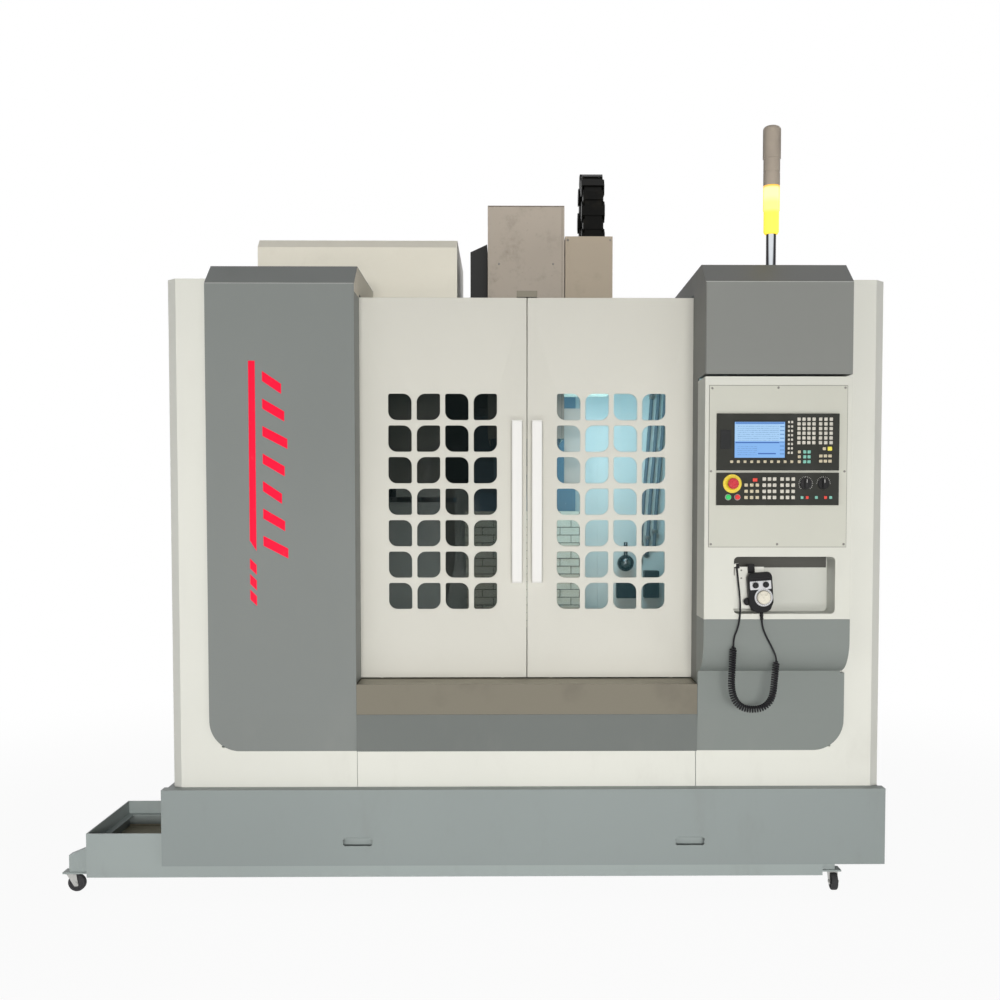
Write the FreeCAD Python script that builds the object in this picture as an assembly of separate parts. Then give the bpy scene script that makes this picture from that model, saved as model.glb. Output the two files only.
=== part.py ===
import FreeCAD, Part
import math
import os

# Vertical machining centre, in millimetres. X runs to the right, Y from the front into the
# machine, Z up. The origin lies under the middle front levelling foot, on the floor.

V = FreeCAD.Vector

# ---------------------------------------------------------------- driving dimensions
# Cabinet
cabinet_x = -6.0            # middle of the cabinet, against the spindle's plane X = 0
cabinet_half = 1294.0       # half the cabinet's width
cabinet_top = 2236.0
corner_chamfer = 36.0       # slanted outer corners of the white casings
front_y = -620.0            # plane of the grey covers, the sill and the apron
panel_y = -590.0            # outer face of the white front panels
rear_y = 860.0              # outer face of the casings' rear walls
sheet = 4.0                 # folded sheet metal
seam = 0.5                  # joint between neighbouring covers
opening_half = 617.0        # half the doorway between the pillars
pillar_margin = 146.0       # from the cabinet's left side to the pillar
pod_margin = 163.0          # from the cabinet's right side to the console
pod_y = -750.0              # front of the console and of the hood over it
low_cover_margin = 144.0    # from the cabinet's right side to the lower cover
lap = 184.0                 # how far the casings' side sheets reach round the front
jamb_back = -475.0          # where the pillars' inner sides end, in front of the doors
band_top = 535.0
bend_z = 671.0              # bend line of the lower covers
bend_lean = 12.0            # how far the covers lean in below that line
corner_r = 108.0            # large lower corners
hood_bend_left = 2216.0
hood_top_left = 2294.0
hood_bend_right = 2201.0
hood_top_right = 2277.0
hood_slant = 100.0          # depth of the hoods' slanted face
left_hood_back = -4.0
right_hood_back = 850.0

# Base tray and coolant tank
tray_margin_left = 26.0     # how far the tray stands out beside the cabinet
tray_margin_right = 6.0
tray_bottom = 123.0
tray_top = 400.0
tray_y = -640.0
tray_floor = 385.0
slot_length = 110.0
slot_height = 32.0
slot_z = 193.0
slot_x_left = -674.0
slot_x_right = 530.0
tank_left = -1611.0
tank_length = 2690.0
tank_front = -600.0
tank_depth = 490.0
tank_bottom = 70.0
tank_top = 232.0
tank_wall = 4.0
tank_ledge_z = 182.0
tank_ledge = 24.0
tank_filter_z = 131.0
tank_travel = 900.0
caster_wheel_r = 32.0
caster_width = 22.0
caster_trail = 18.0
caster_plate = 54.0
caster_plate_t = 6.0
caster_inset = 70.0         # from the tank's front and back to the swivel axes
caster_stand = 77.0         # from the tank's ends to the swivel axes

# Doors
door_bottom = 783.0
door_top = 2192.0
door_y = -465.0
door_depth = 40.0
door_width = 632.0
door_gap = 3.0              # seam between the closed doors
pane_rows = 7
pane_cols = 4
pane_w = 86.0
pane_h = 97.0
pane_pitch_x = 105.5
pane_pitch_z = 117.0
pane_r = 30.0               # the two large corners of each pane
pane_flats = 2              # flats that such a corner is cut with
pane_far = 110.0            # from the seam to the first column of panes
pane_top = 1839.0
glass_t = 4.0
glass_margin = 30.0
handle_w = 40.0
handle_t = 18.0
handle_bottom = 1139.0
handle_top = 1739.0
handle_stand = 27.0
handle_seam = 17.0          # from the seam to the handle's edge
handle_post = 14.0
roller_r = 20.0

# Sill, console and operator's controls
sill_top = 779.0
sill_back = -400.0
track_back = -399.0
track_bottom = 2080.0
track_top = 2186.0
console_bottom = 1027.0
console_top = 1873.0
plate_left = 626.0
plate_right = 1106.0
plate_bottom = 1281.0
plate_top = 1841.0
plate_t = 3.0
unit_t = 12.0               # thickness of the control unit's and the key panel's fronts
unit_left = 650.0
unit_right = 1076.0
unit_bottom = 1547.0
unit_top = 1744.0
keys_bottom = 1426.0
keys_top = 1539.0
unit_border = 15.0          # from the fronts' edge to the bodies behind them
unit_body = 60.0
screen_left = 711.0
screen_right = 888.0
screen_bottom = 1590.0
screen_top = 1716.0
screen_recess = 5.0
stop_x = 704.0
knob_z = 1501.0
stop_r = 19.0
collar_r = 32.0
feed_x = 960.0
speed_x = 1022.0
knob_r = 20.0
start_x = 690.0
halt_x = 722.0
push_z = 1454.0
push_r = 9.0
shaft_r = 5.0
shaft_play = 0.3
niche_left = 715.0
niche_right = 1071.0
niche_bottom = 1046.0
niche_top = 1246.0
niche_r = 15.0
niche_depth = 110.0
skirt_bottom = 829.0
skirt_knee = 955.0
low_cover_top = 820.0

# Handheld pendant and its curly cord
pendant_x = 806.0
pendant_z = 1122.0
pendant_w = 86.0
pendant_h = 140.0
pendant_d = 44.0
pendant_tilt = 4.0
hanger_left = 722.0
hanger_right = 824.0
hanger_top = 1210.0
hanger_bottom = 1063.0
hanger_y = -731.0
hanger_t = 3.0
dial_r = 24.0
small_knob_r = 11.0
side_button_r = 8.0
cord_d = 6.5
curl_d = 26.0               # outer diameter of the curled stretch
cord_sides = 6              # flats round the cord

# Machine inside
bed_half = 400.0
bed_front = -470.0
bed_back = 1400.0
bed_top = 520.0
bed_bottom = 40.0
bed_heel = -60.0            # front of the bed's foot, behind the tank
foot_r = 60.0
foot_t = 24.0
foot_stud_r = 16.0
foot_x = 400.0
foot_back_y = 1330.0
way_inner = 250.0           # the bed's guideways, from the middle
way_outer = 340.0
way_h = 40.0
running = 0.3               # clearance between guideways and what slides on them
spindle_y = 180.0
saddle_half = 470.0
saddle_reach = 250.0        # half the saddle's length along Y
saddle_top = 700.0
saddle_way = 38.0
saddle_way_inner = 130.0
saddle_way_outer = 210.0
x_screw_r = 16.0
x_nut_half = 40.0           # half the length of the table's screw nut
x_screw_rise = 20.0
table_half = 500.0
table_reach = 275.0
table_top = 880.0
slot_count = 5
slot_pitch = 90.0
slot_w = 18.0
slot_wide = 32.0
slot_lip = 18.0
slot_depth = 32.0
x_travel = 400.0
y_travel = 250.0
z_travel = 550.0
y_cover_half = 355.0
y_cover_front = 230.0
y_cover_back = 260.0
y_cover_top = 640.0
column_front = 890.0
column_back = 1400.0
column_half = 330.0
column_foot = 430.0
column_top = 2250.0
column_waist = 1150.0
column_way_inner = 150.0
column_way_outer = 230.0
column_way_t = 35.0
column_way_low = 760.0
screw_r = 20.0
screw_y = 850.0             # upright screw, between the column's ways
bed_screw_z = 576.0
slide_half = 245.0
slide_front = 745.0
slide_bottom = 1400.0
slide_top = 2080.0
arm_half = 138.0
arm_front = 40.0
arm_bottom = 1640.0
arm_top = 1960.0
quill_r = 80.0
quill_bottom = 1592.0
nose_z = 1560.0
nose_r = 64.0
spindle_r = 45.0
spindle_length = 390.0
taper_r = 22.225            # 7:24 taper, 44.45 mm across at its mouth
taper_length = 65.0
head_half = 156.0
head_front = 0.0
head_depth = 560.0
head_bottom = 1700.0
head_top = 2643.0
panel_half = 119.0          # removable panel on the head's cover
panel_top = 2417.0
panel_bottom = 1990.0
box_left = 161.0
box_right = 355.0
box_front = 30.0
box_depth = 300.0
box_bottom = 1900.0
box_top = 2527.0
guard_left = -229.0
guard_right = -160.0
guard_bottom = 1830.0
guard_top = 2504.0
guard_fall = 32.0
z_cover_half = 277.0
z_cover_bottom = 660.0
z_cover_steps = 5
chain_left = 238.0
chain_w = 98.0
chain_t = 60.0
chain_pitch = 58.0
chain_front = 190.0
chain_r = 140.0             # bend radius of the chain's middle line
chain_turn_z = 2691.0
chain_fixed_z = 2256.0

# Tool magazine
magazine_x = -640.0
magazine_travel = 340.0
pocket_circle = 300.0
pocket_count = 16
disc_r = 350.0
disc_z = 1440.0
disc_t = 20.0
hub_r = 90.0
hub_pin_r = 25.0
carriage_z = 1760.0
carriage_t = 25.0
guide_r = 20.0
guide_z = 1900.0
guide_front = 60.0
guide_back = 300.0
beam_left = -370.0
beam_right = -335.0
cover_left = -1090.0
cover_right = -281.0
cover_front = 0.0
cover_back = 700.0
cover_top = 2510.0
cover_bend = 2474.0
cover_bottom = 1520.0
cover_side_bottom = 2000.0

# Tower light and electrical cabinet
tower_x = 885.0
tower_y = -520.0
tower_pole_r = 18.0
tower_r = 30.0
tower_cap_r = 32.5
tower_step = 2.0            # how much less the lowest lamp's radius is
tower_lamp_z = 2412.0
tower_joint_z = 2497.0
tower_cap_z = 2682.0
tower_top = 2800.0
locker_half = 500.0
locker_depth = 320.0
locker_bottom = 460.0
locker_top = 1960.0
locker_door_t = 26.0
locker_hinge_r = 7.0
locker_hinge_h = 30.0
locker_hinges = (600.0, 1780.0)

# ---------------------------------------------------------------- places worked out from them
opening_left = cabinet_x - opening_half
opening_right = cabinet_x + opening_half
outer_left = cabinet_x - cabinet_half
outer_right = cabinet_x + cabinet_half
pillar_left = outer_left + pillar_margin
pod_right = outer_right - pod_margin
low_cover_right = outer_right - low_cover_margin
tray_left = outer_left - tray_margin_left
tray_right = outer_right + tray_margin_right
seam_x = cabinet_x + 2.0    # where the doors meet
cabinet_bottom = tray_floor + sheet + running
door_back = door_y + door_depth
plate_y = pod_y - plate_t
unit_y = plate_y - unit_t
tank_right = tank_left + tank_length
tank_back = tank_front + tank_depth

os.makedirs("parts", exist_ok=True)


# ---------------------------------------------------------------- forms
def block(x0, x1, y0, y1, z0, z1):
    return Part.makeBox(x1 - x0, y1 - y0, z1 - z0, V(x0, y0, z0))


def along_x(points, x0, x1):
    face = Part.Face(Part.makePolygon([V(x0, y, z) for y, z in points + points[:1]]))
    return face.extrude(V(x1 - x0, 0, 0))


def along_y(points, y0, y1):
    face = Part.Face(Part.makePolygon([V(x, y0, z) for x, z in points + points[:1]]))
    return face.extrude(V(0, y1 - y0, 0))


def along_z(points, z0, z1):
    face = Part.Face(Part.makePolygon([V(x, y, z0) for x, y in points + points[:1]]))
    return face.extrude(V(0, 0, z1 - z0))


def rod(base, r, length, axis):
    return Part.makeCylinder(r, length, base, axis)


def turned(base, profile, axis, flats=24):
    """Small turned piece drawn with flats: a ring of that many sides at each (r, height)."""
    rings = []
    for r, h in profile:
        angles = [2 * math.pi * i / flats for i in range(flats)]
        rings.append([V(r * math.cos(a), r * math.sin(a), h) for a in angles])
    faces = [Part.Face(Part.makePolygon(ring + ring[:1])) for ring in (rings[0], rings[-1])]
    for low, high in zip(rings, rings[1:]):
        for i in range(flats):
            corners = [low[i - 1], low[i], high[i], high[i - 1], low[i - 1]]
            faces.append(Part.Face(Part.makePolygon(corners)))
    body = Part.Solid(Part.makeShell(faces))
    if body.Volume < 0:
        body.reverse()
    body.Placement = FreeCAD.Placement(base, FreeCAD.Rotation(V(0, 0, 1), axis))
    return body


def stud(base, r, length, axis, flats=12):
    return turned(base, [(r, 0), (r, length)], axis, flats)


def outline(x0, x1, z0, z1, radii, y, flats=0):
    """Upright rectangle whose corners (low left, low right, high right, high left) are rounded.

    With flats, each rounded corner is drawn with that many straight steps.
    """
    corners = [(x0, z0, 1, 1), (x1, z0, -1, 1), (x1, z1, -1, -1), (x0, z1, 1, -1)]
    edges = []
    ends = []
    for (x, z, sx, sz), r in zip(corners, radii):
        along_base = V(x + sx * r, y, z)
        along_side = V(x, y, z + sz * r)
        first, last = (along_side, along_base) if sx == sz else (along_base, along_side)
        middle = V(x + sx * r * (1 - math.sqrt(0.5)), y, z + sz * r * (1 - math.sqrt(0.5)))
        if r > 0 and flats:
            centre = V(x + sx * r, y, z + sz * r)
            turn = math.radians(90 / flats)
            steps = [first]
            for i in range(flats):
                arm = steps[-1] - centre
                steps.append(centre + V(arm.x * math.cos(turn) - arm.z * math.sin(turn), 0,
                                        arm.x * math.sin(turn) + arm.z * math.cos(turn)))
            edges += Part.makePolygon(steps).Edges
        elif r > 0:
            edges.append(Part.Arc(first, middle, last).toShape())
        ends.append((first, last))
    for here, there in zip(ends, ends[1:] + ends[:1]):
        if here[1].distanceToPoint(there[0]) > 1e-6:
            edges.append(Part.makeLine(here[1], there[0]))
    return Part.Wire(Part.__sortEdges__(edges))


def plate(x0, x1, z0, z1, radii, y0, y1, flats=0):
    return Part.Face(outline(x0, x1, z0, z1, radii, y0, flats)).extrude(V(0, y1 - y0, 0))


def tray(x0, x1, z0, z1, radii, y0, y1, wall=sheet):
    """Cover with a front face and a rim folded back all round it."""
    inner = [max(r - wall, 0) for r in radii]
    hollow = plate(x0 + wall, x1 - wall, z0 + wall, z1 - wall, inner, y0 + wall, y1)
    return plate(x0, x1, z0, z1, radii, y0, y1).cut(hollow)


def folded(points, wall):
    """Closed outline of a sheet folded along the points, its wall laid to the left of them."""
    normals = []
    for (a0, b0), (a1, b1) in zip(points, points[1:]):
        length = math.hypot(a1 - a0, b1 - b0)
        normals.append(((b0 - b1) / length, (a1 - a0) / length))
    inner = []
    for (a, b), (na, nb), (ma, mb) in zip(points, normals[:1] + normals, normals + normals[-1:]):
        mitre = wall / (1 + na * ma + nb * mb)
        inner.append((a + (na + ma) * mitre, b + (nb + mb) * mitre))
    return points + inner[::-1]


def fuse(*shapes):
    return shapes[0].fuse(list(shapes[1:])).removeSplitter()


def save(name, *solids):
    shape = solids[0] if len(solids) == 1 else Part.makeCompound(list(solids))
    shape.exportStep("parts/" + name + ".step")


# ---------------------------------------------------------------- white casings
def casing(side):
    """Side wall with the front column, the rear wall and a strip of roof, in folded sheet."""
    outer = cabinet_x + side * cabinet_half
    start = outer - side * lap
    inner_end = beam_left - 5 if side < 0 else y_cover_half + 5
    plan = [(start, panel_y), (outer - side * corner_chamfer, panel_y),
            (outer, panel_y + corner_chamfer), (outer, rear_y), (inner_end, rear_y)]
    wall = -sheet if side < 0 else sheet
    shell = along_z(folded(plan, wall), cabinet_bottom, cabinet_top)
    shell = shell.cut(block(-bed_half - 3, bed_half + 3, rear_y - 9, rear_y + 1,
                            cabinet_bottom - 1, bed_top + 3))
    band_end = cabinet_x + side * (opening_half + 2 * seam)
    band = block(min(start, band_end) - seam, max(start, band_end) + seam, panel_y,
                 panel_y + sheet, cabinet_bottom, band_top + 10)
    band = band.cut(block(-opening_half - 8, opening_half - 5, panel_y - 1, panel_y + 9, 0,
                          cabinet_top))
    return shell, band, outer


def left_casing():
    shell, band, outer = casing(-1)
    roof = along_z([(outer + corner_chamfer, panel_y), (outer, panel_y + corner_chamfer),
                    (outer, rear_y), (cover_left - 0.3, rear_y), (cover_left - 0.3, left_hood_back),
                    (pillar_left, left_hood_back), (pillar_left, panel_y)],
                   cabinet_top - sheet, cabinet_top)
    under_hood = block(pillar_left - 1, opening_left, panel_y - 1, panel_y + 6,
                       cabinet_top - 7, cabinet_top + 1)
    return fuse(shell, band, roof).cut(under_hood)


def right_casing():
    shell, band, outer = casing(1)
    roof = along_z([(outer - corner_chamfer, panel_y), (outer, panel_y + corner_chamfer),
                    (outer, rear_y), (pod_right, rear_y), (pod_right, panel_y)],
                   cabinet_top - sheet, cabinet_top)
    return fuse(shell, band, roof)


def front_band():
    return tray(opening_left - seam, opening_right - 2 * seam, cabinet_bottom, band_top - seam,
                (0, 0, 0, 0), panel_y, panel_y + 30)


# ---------------------------------------------------------------- grey covers
def leaning(cover, x0, x1, z0):
    """Lets the cover's lowest part lean in below the bend line."""
    wedge = along_x([(front_y - 1, bend_z), (front_y - 1, z0 - 1), (front_y + bend_lean, z0 - 1),
                     (front_y, bend_z)], x0 - 1, x1 + 1)
    return cover.cut(wedge)


def hood(x0, x1, face_y, bend, top, back, jamb_x, outer_x):
    """Slanted and flat top of a pillar with its two side walls."""
    line = [(face_y, bend - 30), (face_y, bend), (face_y + hood_slant, top), (back, top)]
    roof = along_x(folded(line, -sheet), x0, x1)
    flank = [(face_y, bend - 30), (face_y, bend), (face_y + hood_slant, top), (back, top)]
    jamb = flank + [(back, door_top + 8), (jamb_back, door_top + 8), (jamb_back, bend - 30)]
    outside = flank + [(back, cabinet_top + seam), (panel_y - seam, cabinet_top + seam),
                       (panel_y - seam, bend - 30)]
    return [roof, along_x(jamb, *jamb_x), along_x(outside, *outer_x)]


def left_pillar():
    radii = (corner_r, 0, 0, 0)
    face = tray(pillar_left, opening_left, band_top, hood_bend_left, radii, front_y, panel_y - seam)
    opened = block(pillar_left + sheet, opening_left - sheet, front_y + sheet, panel_y,
                   hood_bend_left - 20, hood_bend_left + 1)
    lining = plate(pillar_left, opening_left, band_top, bend_z, radii, front_y, front_y + 16)
    body = leaning(fuse(face.cut(opened), lining), pillar_left, opening_left, band_top)
    jamb = block(opening_left - sheet, opening_left, front_y + 1, jamb_back, door_bottom,
                 hood_bend_left - 20)
    parts = hood(pillar_left, opening_left, front_y, hood_bend_left, hood_top_left,
                 left_hood_back, (opening_left - sheet, opening_left),
                 (pillar_left, pillar_left + sheet))
    return fuse(body, jamb, *parts)


def right_hood():
    parts = hood(opening_right, pod_right, pod_y + 2, hood_bend_right, hood_top_right,
                 right_hood_back, (opening_right, opening_right + sheet),
                 (pod_right - sheet, pod_right))
    low = console_top + 9
    face = block(opening_right, pod_right, pod_y + 2, pod_y + 2 + sheet, low, hood_bend_right - 20)
    floor = block(opening_right, pod_right, pod_y + 2, panel_y - seam, low, low + sheet)
    inner = block(opening_right, opening_right + sheet, pod_y + 2, jamb_back, low,
                  hood_bend_right - 20)
    outer = block(pod_right - sheet, pod_right, pod_y + 2, panel_y - seam, low,
                  hood_bend_right - 20)
    jamb = block(opening_right, opening_right + sheet, panel_y, jamb_back, door_bottom, low + 1)
    return fuse(face, floor, inner, outer, jamb, *parts)


def right_lower_cover():
    x0 = opening_right + seam
    radii = (0, corner_r, 0, 0)
    face = tray(x0, low_cover_right, band_top, low_cover_top, radii, front_y, panel_y - seam)
    lining = plate(x0, low_cover_right, band_top, bend_z, radii, front_y, front_y + 16)
    return leaning(fuse(face, lining), x0, low_cover_right, band_top)


def apron():
    return tray(opening_left + seam, opening_right - seam, band_top + seam, 670.0 - seam,
                (0, 0, 0, 0), front_y, panel_y - seam)


def sill():
    """Stainless ledge under the doors; its rear part carries them behind both pillars."""
    x0 = opening_left + seam
    x1 = opening_right - seam
    line = [(panel_y, 670.0), (front_y, 670.0), (front_y, sill_top), (jamb_back + 4, sill_top)]
    front = along_x(folded(line, -sheet), x0, x1)
    rail = block(outer_left + 44, outer_right - 44, jamb_back + 4, sill_back,
                 sill_top - sheet, sill_top)
    lip = block(outer_left + 44, outer_right - 44, sill_back - sheet, sill_back,
                sill_top - 60, sill_top - sheet)
    return fuse(front, rail, lip)


def base_tray():
    """Pan that carries the cabinet, with its deep front skirt and two hand slots."""
    line = [(panel_y - 2 * seam, tray_top), (tray_y, tray_top), (tray_y, tray_bottom),
            (tray_y + 24, tray_bottom)]
    skirt = along_x(folded(line, sheet), tray_left, tray_right)
    for x in (slot_x_left, slot_x_right):
        r = slot_height / 2
        slot = outline(x, x + slot_length, slot_z, slot_z + slot_height, (r, r, r, r),
                       tray_y - 1, 4)
        skirt = skirt.cut(Part.Face(slot).extrude(V(0, 7, 0)))
    floor = block(tray_left, tray_right, tray_y + sheet, rear_y, tray_floor, tray_floor + sheet)
    floor = floor.cut(block(-bed_half - 80, bed_half + 80, bed_front - 30, rear_y + 1, 300, 420))
    sides = []
    for x in (tray_left, tray_right - sheet):
        sides.append(block(x, x + sheet, tray_y + sheet, rear_y, tank_top + 18, tray_floor))
    back_flange = []
    for x0, x1 in ((tray_left, -bed_half - 80), (bed_half + 80, tray_right)):
        back_flange.append(block(x0, x1, rear_y - sheet, rear_y, tray_floor - 100, tray_floor))
    rests = []
    for x0, x1 in ((-bed_half - 80, -bed_half), (bed_half, bed_half + 80)):
        rests.append(block(x0, x1, 0, rear_y - sheet, tray_floor - 12, tray_floor))
    return fuse(skirt, floor, *sides, *back_flange, *rests)


# ---------------------------------------------------------------- console
def console_housing():
    x0 = opening_right
    back = panel_y - seam
    outer = block(x0, pod_right, pod_y, back, console_bottom, console_top)
    inner = block(x0 + sheet, pod_right - sheet, pod_y + sheet, back + 1,
                  console_bottom + sheet, console_top - sheet)
    shell = outer.cut(inner)
    shell = shell.cut(block(plate_left + 16, plate_right - 16, pod_y - 1, pod_y + 9,
                            plate_bottom + 16, plate_top - 16))
    pocket = block(niche_left - 3, niche_right + 3, pod_y + 1, pod_y + niche_depth + 3,
                   niche_bottom - 3, niche_top + 3)
    hollow = plate(niche_left, niche_right, niche_bottom, niche_top, (niche_r,) * 4,
                   pod_y - 1, pod_y + niche_depth, 4)
    return fuse(shell, pocket).cut(hollow)


def console_plate():
    face = block(plate_left, plate_right, plate_y, pod_y, plate_bottom, plate_top)
    for z0, z1 in ((unit_bottom, unit_top), (keys_bottom, keys_top)):
        face = face.cut(block(unit_left + unit_border - 1, unit_right - unit_border + 1,
                              plate_y - 1, pod_y + 1, z0 + unit_border - 1, z1 - unit_border + 1))
    return face


def console_skirt():
    """Cover that curves from the console's underside back to the lower covers."""
    face = pod_y + 2
    back = front_y - 12
    x = opening_right
    drop = skirt_knee - skirt_bottom
    reach = (drop ** 2 + (back - face) ** 2) / (2 * (back - face))
    end = math.atan2(drop, reach - (back - face))
    half = V(x, face + reach * (1 - math.cos(end / 2)), skirt_knee - reach * math.sin(end / 2))
    curve = Part.Arc(V(x, face, skirt_knee), half, V(x, back, skirt_bottom)).toShape()
    line = Part.makePolygon([V(x, back, skirt_bottom), V(x, back, low_cover_top + seam),
                             V(x, panel_y - seam, low_cover_top + seam),
                             V(x, panel_y - seam, console_bottom - seam),
                             V(x, face, console_bottom - seam), V(x, face, skirt_knee)])
    wire = Part.Wire([curve] + line.Edges)
    return Part.Face(wire).extrude(V(pod_right - opening_right, 0, 0))


def control_front(z0, z1):
    front = block(unit_left, unit_right, unit_y, plate_y, z0, z1)
    body = block(unit_left + unit_border, unit_right - unit_border, plate_y,
                 plate_y + unit_body, z0 + unit_border, z1 - unit_border)
    return fuse(front, body)


def nc_unit():
    unit = control_front(unit_bottom, unit_top)
    unit = unit.cut(block(screen_left, screen_right, unit_y - 1, unit_y + screen_recess,
                          screen_bottom, screen_top))
    pads = [(932, 994, 1636, 1729), (932, 976, 1572, 1616), (1004, 1052, 1617, 1729),
            (1004, 1052, 1572, 1612), (894, 916, 1600, 1722), (694, 916, 1570, 1584)]
    for x0, x1, z0, z1 in pads:
        unit = unit.fuse(block(x0, x1, unit_y - 2, unit_y + 1, z0, z1))
    return unit.removeSplitter()


def operator_panel():
    panel = control_front(keys_bottom, keys_top)
    pads = [(749, 796, 1446, 1523), (810, 858, 1446, 1523), (871, 921, 1446, 1523),
            (940, 1052, 1446, 1460)]
    for x0, x1, z0, z1 in pads:
        panel = panel.fuse(block(x0, x1, unit_y - 2, unit_y + 1, z0, z1))
    panel = panel.fuse(stud(V(stop_x, unit_y + 1, knob_z), collar_r, 4, V(0, -1, 0), 16))
    bores = [(stop_x, knob_z), (feed_x, knob_z), (speed_x, knob_z), (start_x, push_z),
             (halt_x, push_z)]
    for x, z in bores:
        bore = stud(V(x, unit_y - 9, z), shaft_r + shaft_play, 9 + 30, V(0, 1, 0))
        panel = panel.cut(bore)
    return panel.removeSplitter()


def e_stop():
    """Mushroom button on its stem, in front of the yellow collar."""
    stem = stud(V(stop_x, unit_y + 20, knob_z), shaft_r, 31, V(0, -1, 0), 8)
    cap = turned(V(stop_x, unit_y - 10, knob_z), [(12, 0), (12, 7), (stop_r, 10), (stop_r, 17),
                                                  (stop_r - 6, 21)], V(0, -1, 0), 16)
    return fuse(stem, cap)


def knob(x):
    """Override switch: a skirted round knob with a flat grip across it."""
    y = unit_y - 0.3
    stem = stud(V(x, y + 20, knob_z), shaft_r, 20.5, V(0, -1, 0), 8)
    skirt = stud(V(x, y, knob_z), knob_r, 8, V(0, -1, 0), 16)
    grip = block(x - 6, x + 6, y - 20, y - 7, knob_z - knob_r + 3, knob_z + knob_r - 3)
    return fuse(stem, skirt, grip)


def push_button(x):
    stem = stud(V(x, unit_y + 20, push_z), shaft_r, 26, V(0, -1, 0), 8)
    cap = stud(V(x, unit_y - 5, push_z), push_r, 5, V(0, -1, 0))
    return fuse(stem, cap)


# ---------------------------------------------------------------- pendant and cord
def tilted(shape):
    shape.rotate(V(pendant_x, 0, pendant_z), V(0, 1, 0), -pendant_tilt)
    return shape


def pendant_point(x, z):
    """Where a place on the upright pendant comes to lie on the tilted one."""
    a = math.radians(-pendant_tilt)
    dx = x - pendant_x
    dz = z - pendant_z
    return (pendant_x + dx * math.cos(a) + dz * math.sin(a),
            pendant_z - dx * math.sin(a) + dz * math.cos(a))


pendant_back = hanger_y - 0.5
pendant_front = pendant_back - pendant_d
relief_y = pendant_front + 14.0
relief_length = 27.5
pendant_low = pendant_z - pendant_h / 2
pendant_high = pendant_z + pendant_h / 2
dial_at = (pendant_x + 8.0, pendant_z - 17.0)
knob_at = ((pendant_x - 18.0, pendant_z + 27.0), (pendant_x + 18.0, pendant_z + 27.0))
button_at = pendant_z - 34.0


def pendant_body():
    w = pendant_w / 2
    shape = [(-w + 8, pendant_high), (w - 8, pendant_high), (w, pendant_high - 14),
             (w, pendant_low + 34), (w - 12, pendant_low + 8), (w - 26, pendant_low),
             (-w + 26, pendant_low), (-w + 12, pendant_low + 8), (-w, pendant_low + 34),
             (-w, pendant_high - 14)]
    case = along_y([(pendant_x + x, z) for x, z in shape], pendant_front, pendant_back)
    hook = block(pendant_x - 34, pendant_x - 10, hanger_y - 10, hanger_y - 2,
                 pendant_high - 2, hanger_top + 12)
    hook = hook.fuse(block(pendant_x - 34, pendant_x - 10, hanger_y - 10,
                           hanger_y + hanger_t + 6, hanger_top + 7, hanger_top + 12))
    relief = turned(V(pendant_x, relief_y, pendant_low - relief_length),
                    [(cord_d / 2 + 2, 0), (8.5, relief_length + 1)], V(0, 0, 1), 8)
    case = case.fuse([hook, relief])
    for x, z in (dial_at,) + knob_at:
        case = case.cut(stud(V(x, pendant_front - 1, z), 3 + shaft_play, 19, V(0, 1, 0)))
    side = stud(V(pendant_x - w - 1, pendant_back - 20, button_at), 5 + shaft_play, 15,
                V(1, 0, 0))
    return tilted(case.cut(side).removeSplitter())


def pendant_round(place, r, height):
    x, z = pendant_point(*place)
    stem = stud(V(x, pendant_front + 16, z), 3, 17, V(0, -1, 0), 8)
    cap = stud(V(x, pendant_front - 0.5, z), r, height, V(0, -1, 0), 16)
    return fuse(stem, cap)


def pendant_button():
    x = pendant_x - pendant_w / 2
    stem = stud(V(x + 10, pendant_back - 20, button_at), 5, 16, V(-1, 0, 0), 8)
    cap = stud(V(x - 5, pendant_back - 20, button_at), side_button_r, 5, V(-1, 0, 0))
    return tilted(fuse(stem, cap))


def pendant_hanger():
    """White bracket on the niche's left wall, and the gland that the cord comes out of."""
    face = block(hanger_left, hanger_right, hanger_y, hanger_y + hanger_t, hanger_bottom,
                 hanger_top)
    wing = block(niche_left + 0.3, hanger_left, hanger_y, hanger_y + 60, hanger_bottom,
                 hanger_top - 30)
    bracket = fuse(face, wing)
    start, ahead = V(*cord_route_upper[0]), V(*cord_route_upper[1])
    axis = (ahead - start).normalize()
    nut = stud(start - axis * 16, 8, 16, axis, 6)
    foot = block(niche_left + 0.3, start.x, start.y - 6, start.y + 6, start.z + 4, start.z + 14)
    return bracket, fuse(nut, foot)


# Route of the cord, chosen by hand: from the gland down to the curls, and from there up to
# the pendant. It hangs in front of the console.
cord_route_upper = [(727.5, -741.0, 1206.0), (731.0, -747.0, 1163.0), (736.0, -755.0, 1109.0),
                    (737.0, -763.0, 1052.0), (729.5, -766.0, 1001.0), (714.3, -767.0, 966.4),
                    (712.5, -767.0, 930.0)]
curl_route = [(712.5, -767.0, 930.0), (701.9, -767.0, 716.0), (848.0, -767.0, 708.0),
              (861.5, -767.0, 862.0)]
cord_route_lower = [(861.5, -767.0, 862.0), (864.2, -767.0, 892.8), (848.0, -766.0, 930.0),
                    (829.0, -763.0, 966.0)]
for below in (25.0, 0.0):
    x, z = pendant_point(pendant_x, pendant_low - relief_length - below)
    cord_route_lower.append((x, relief_y, z))


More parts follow.
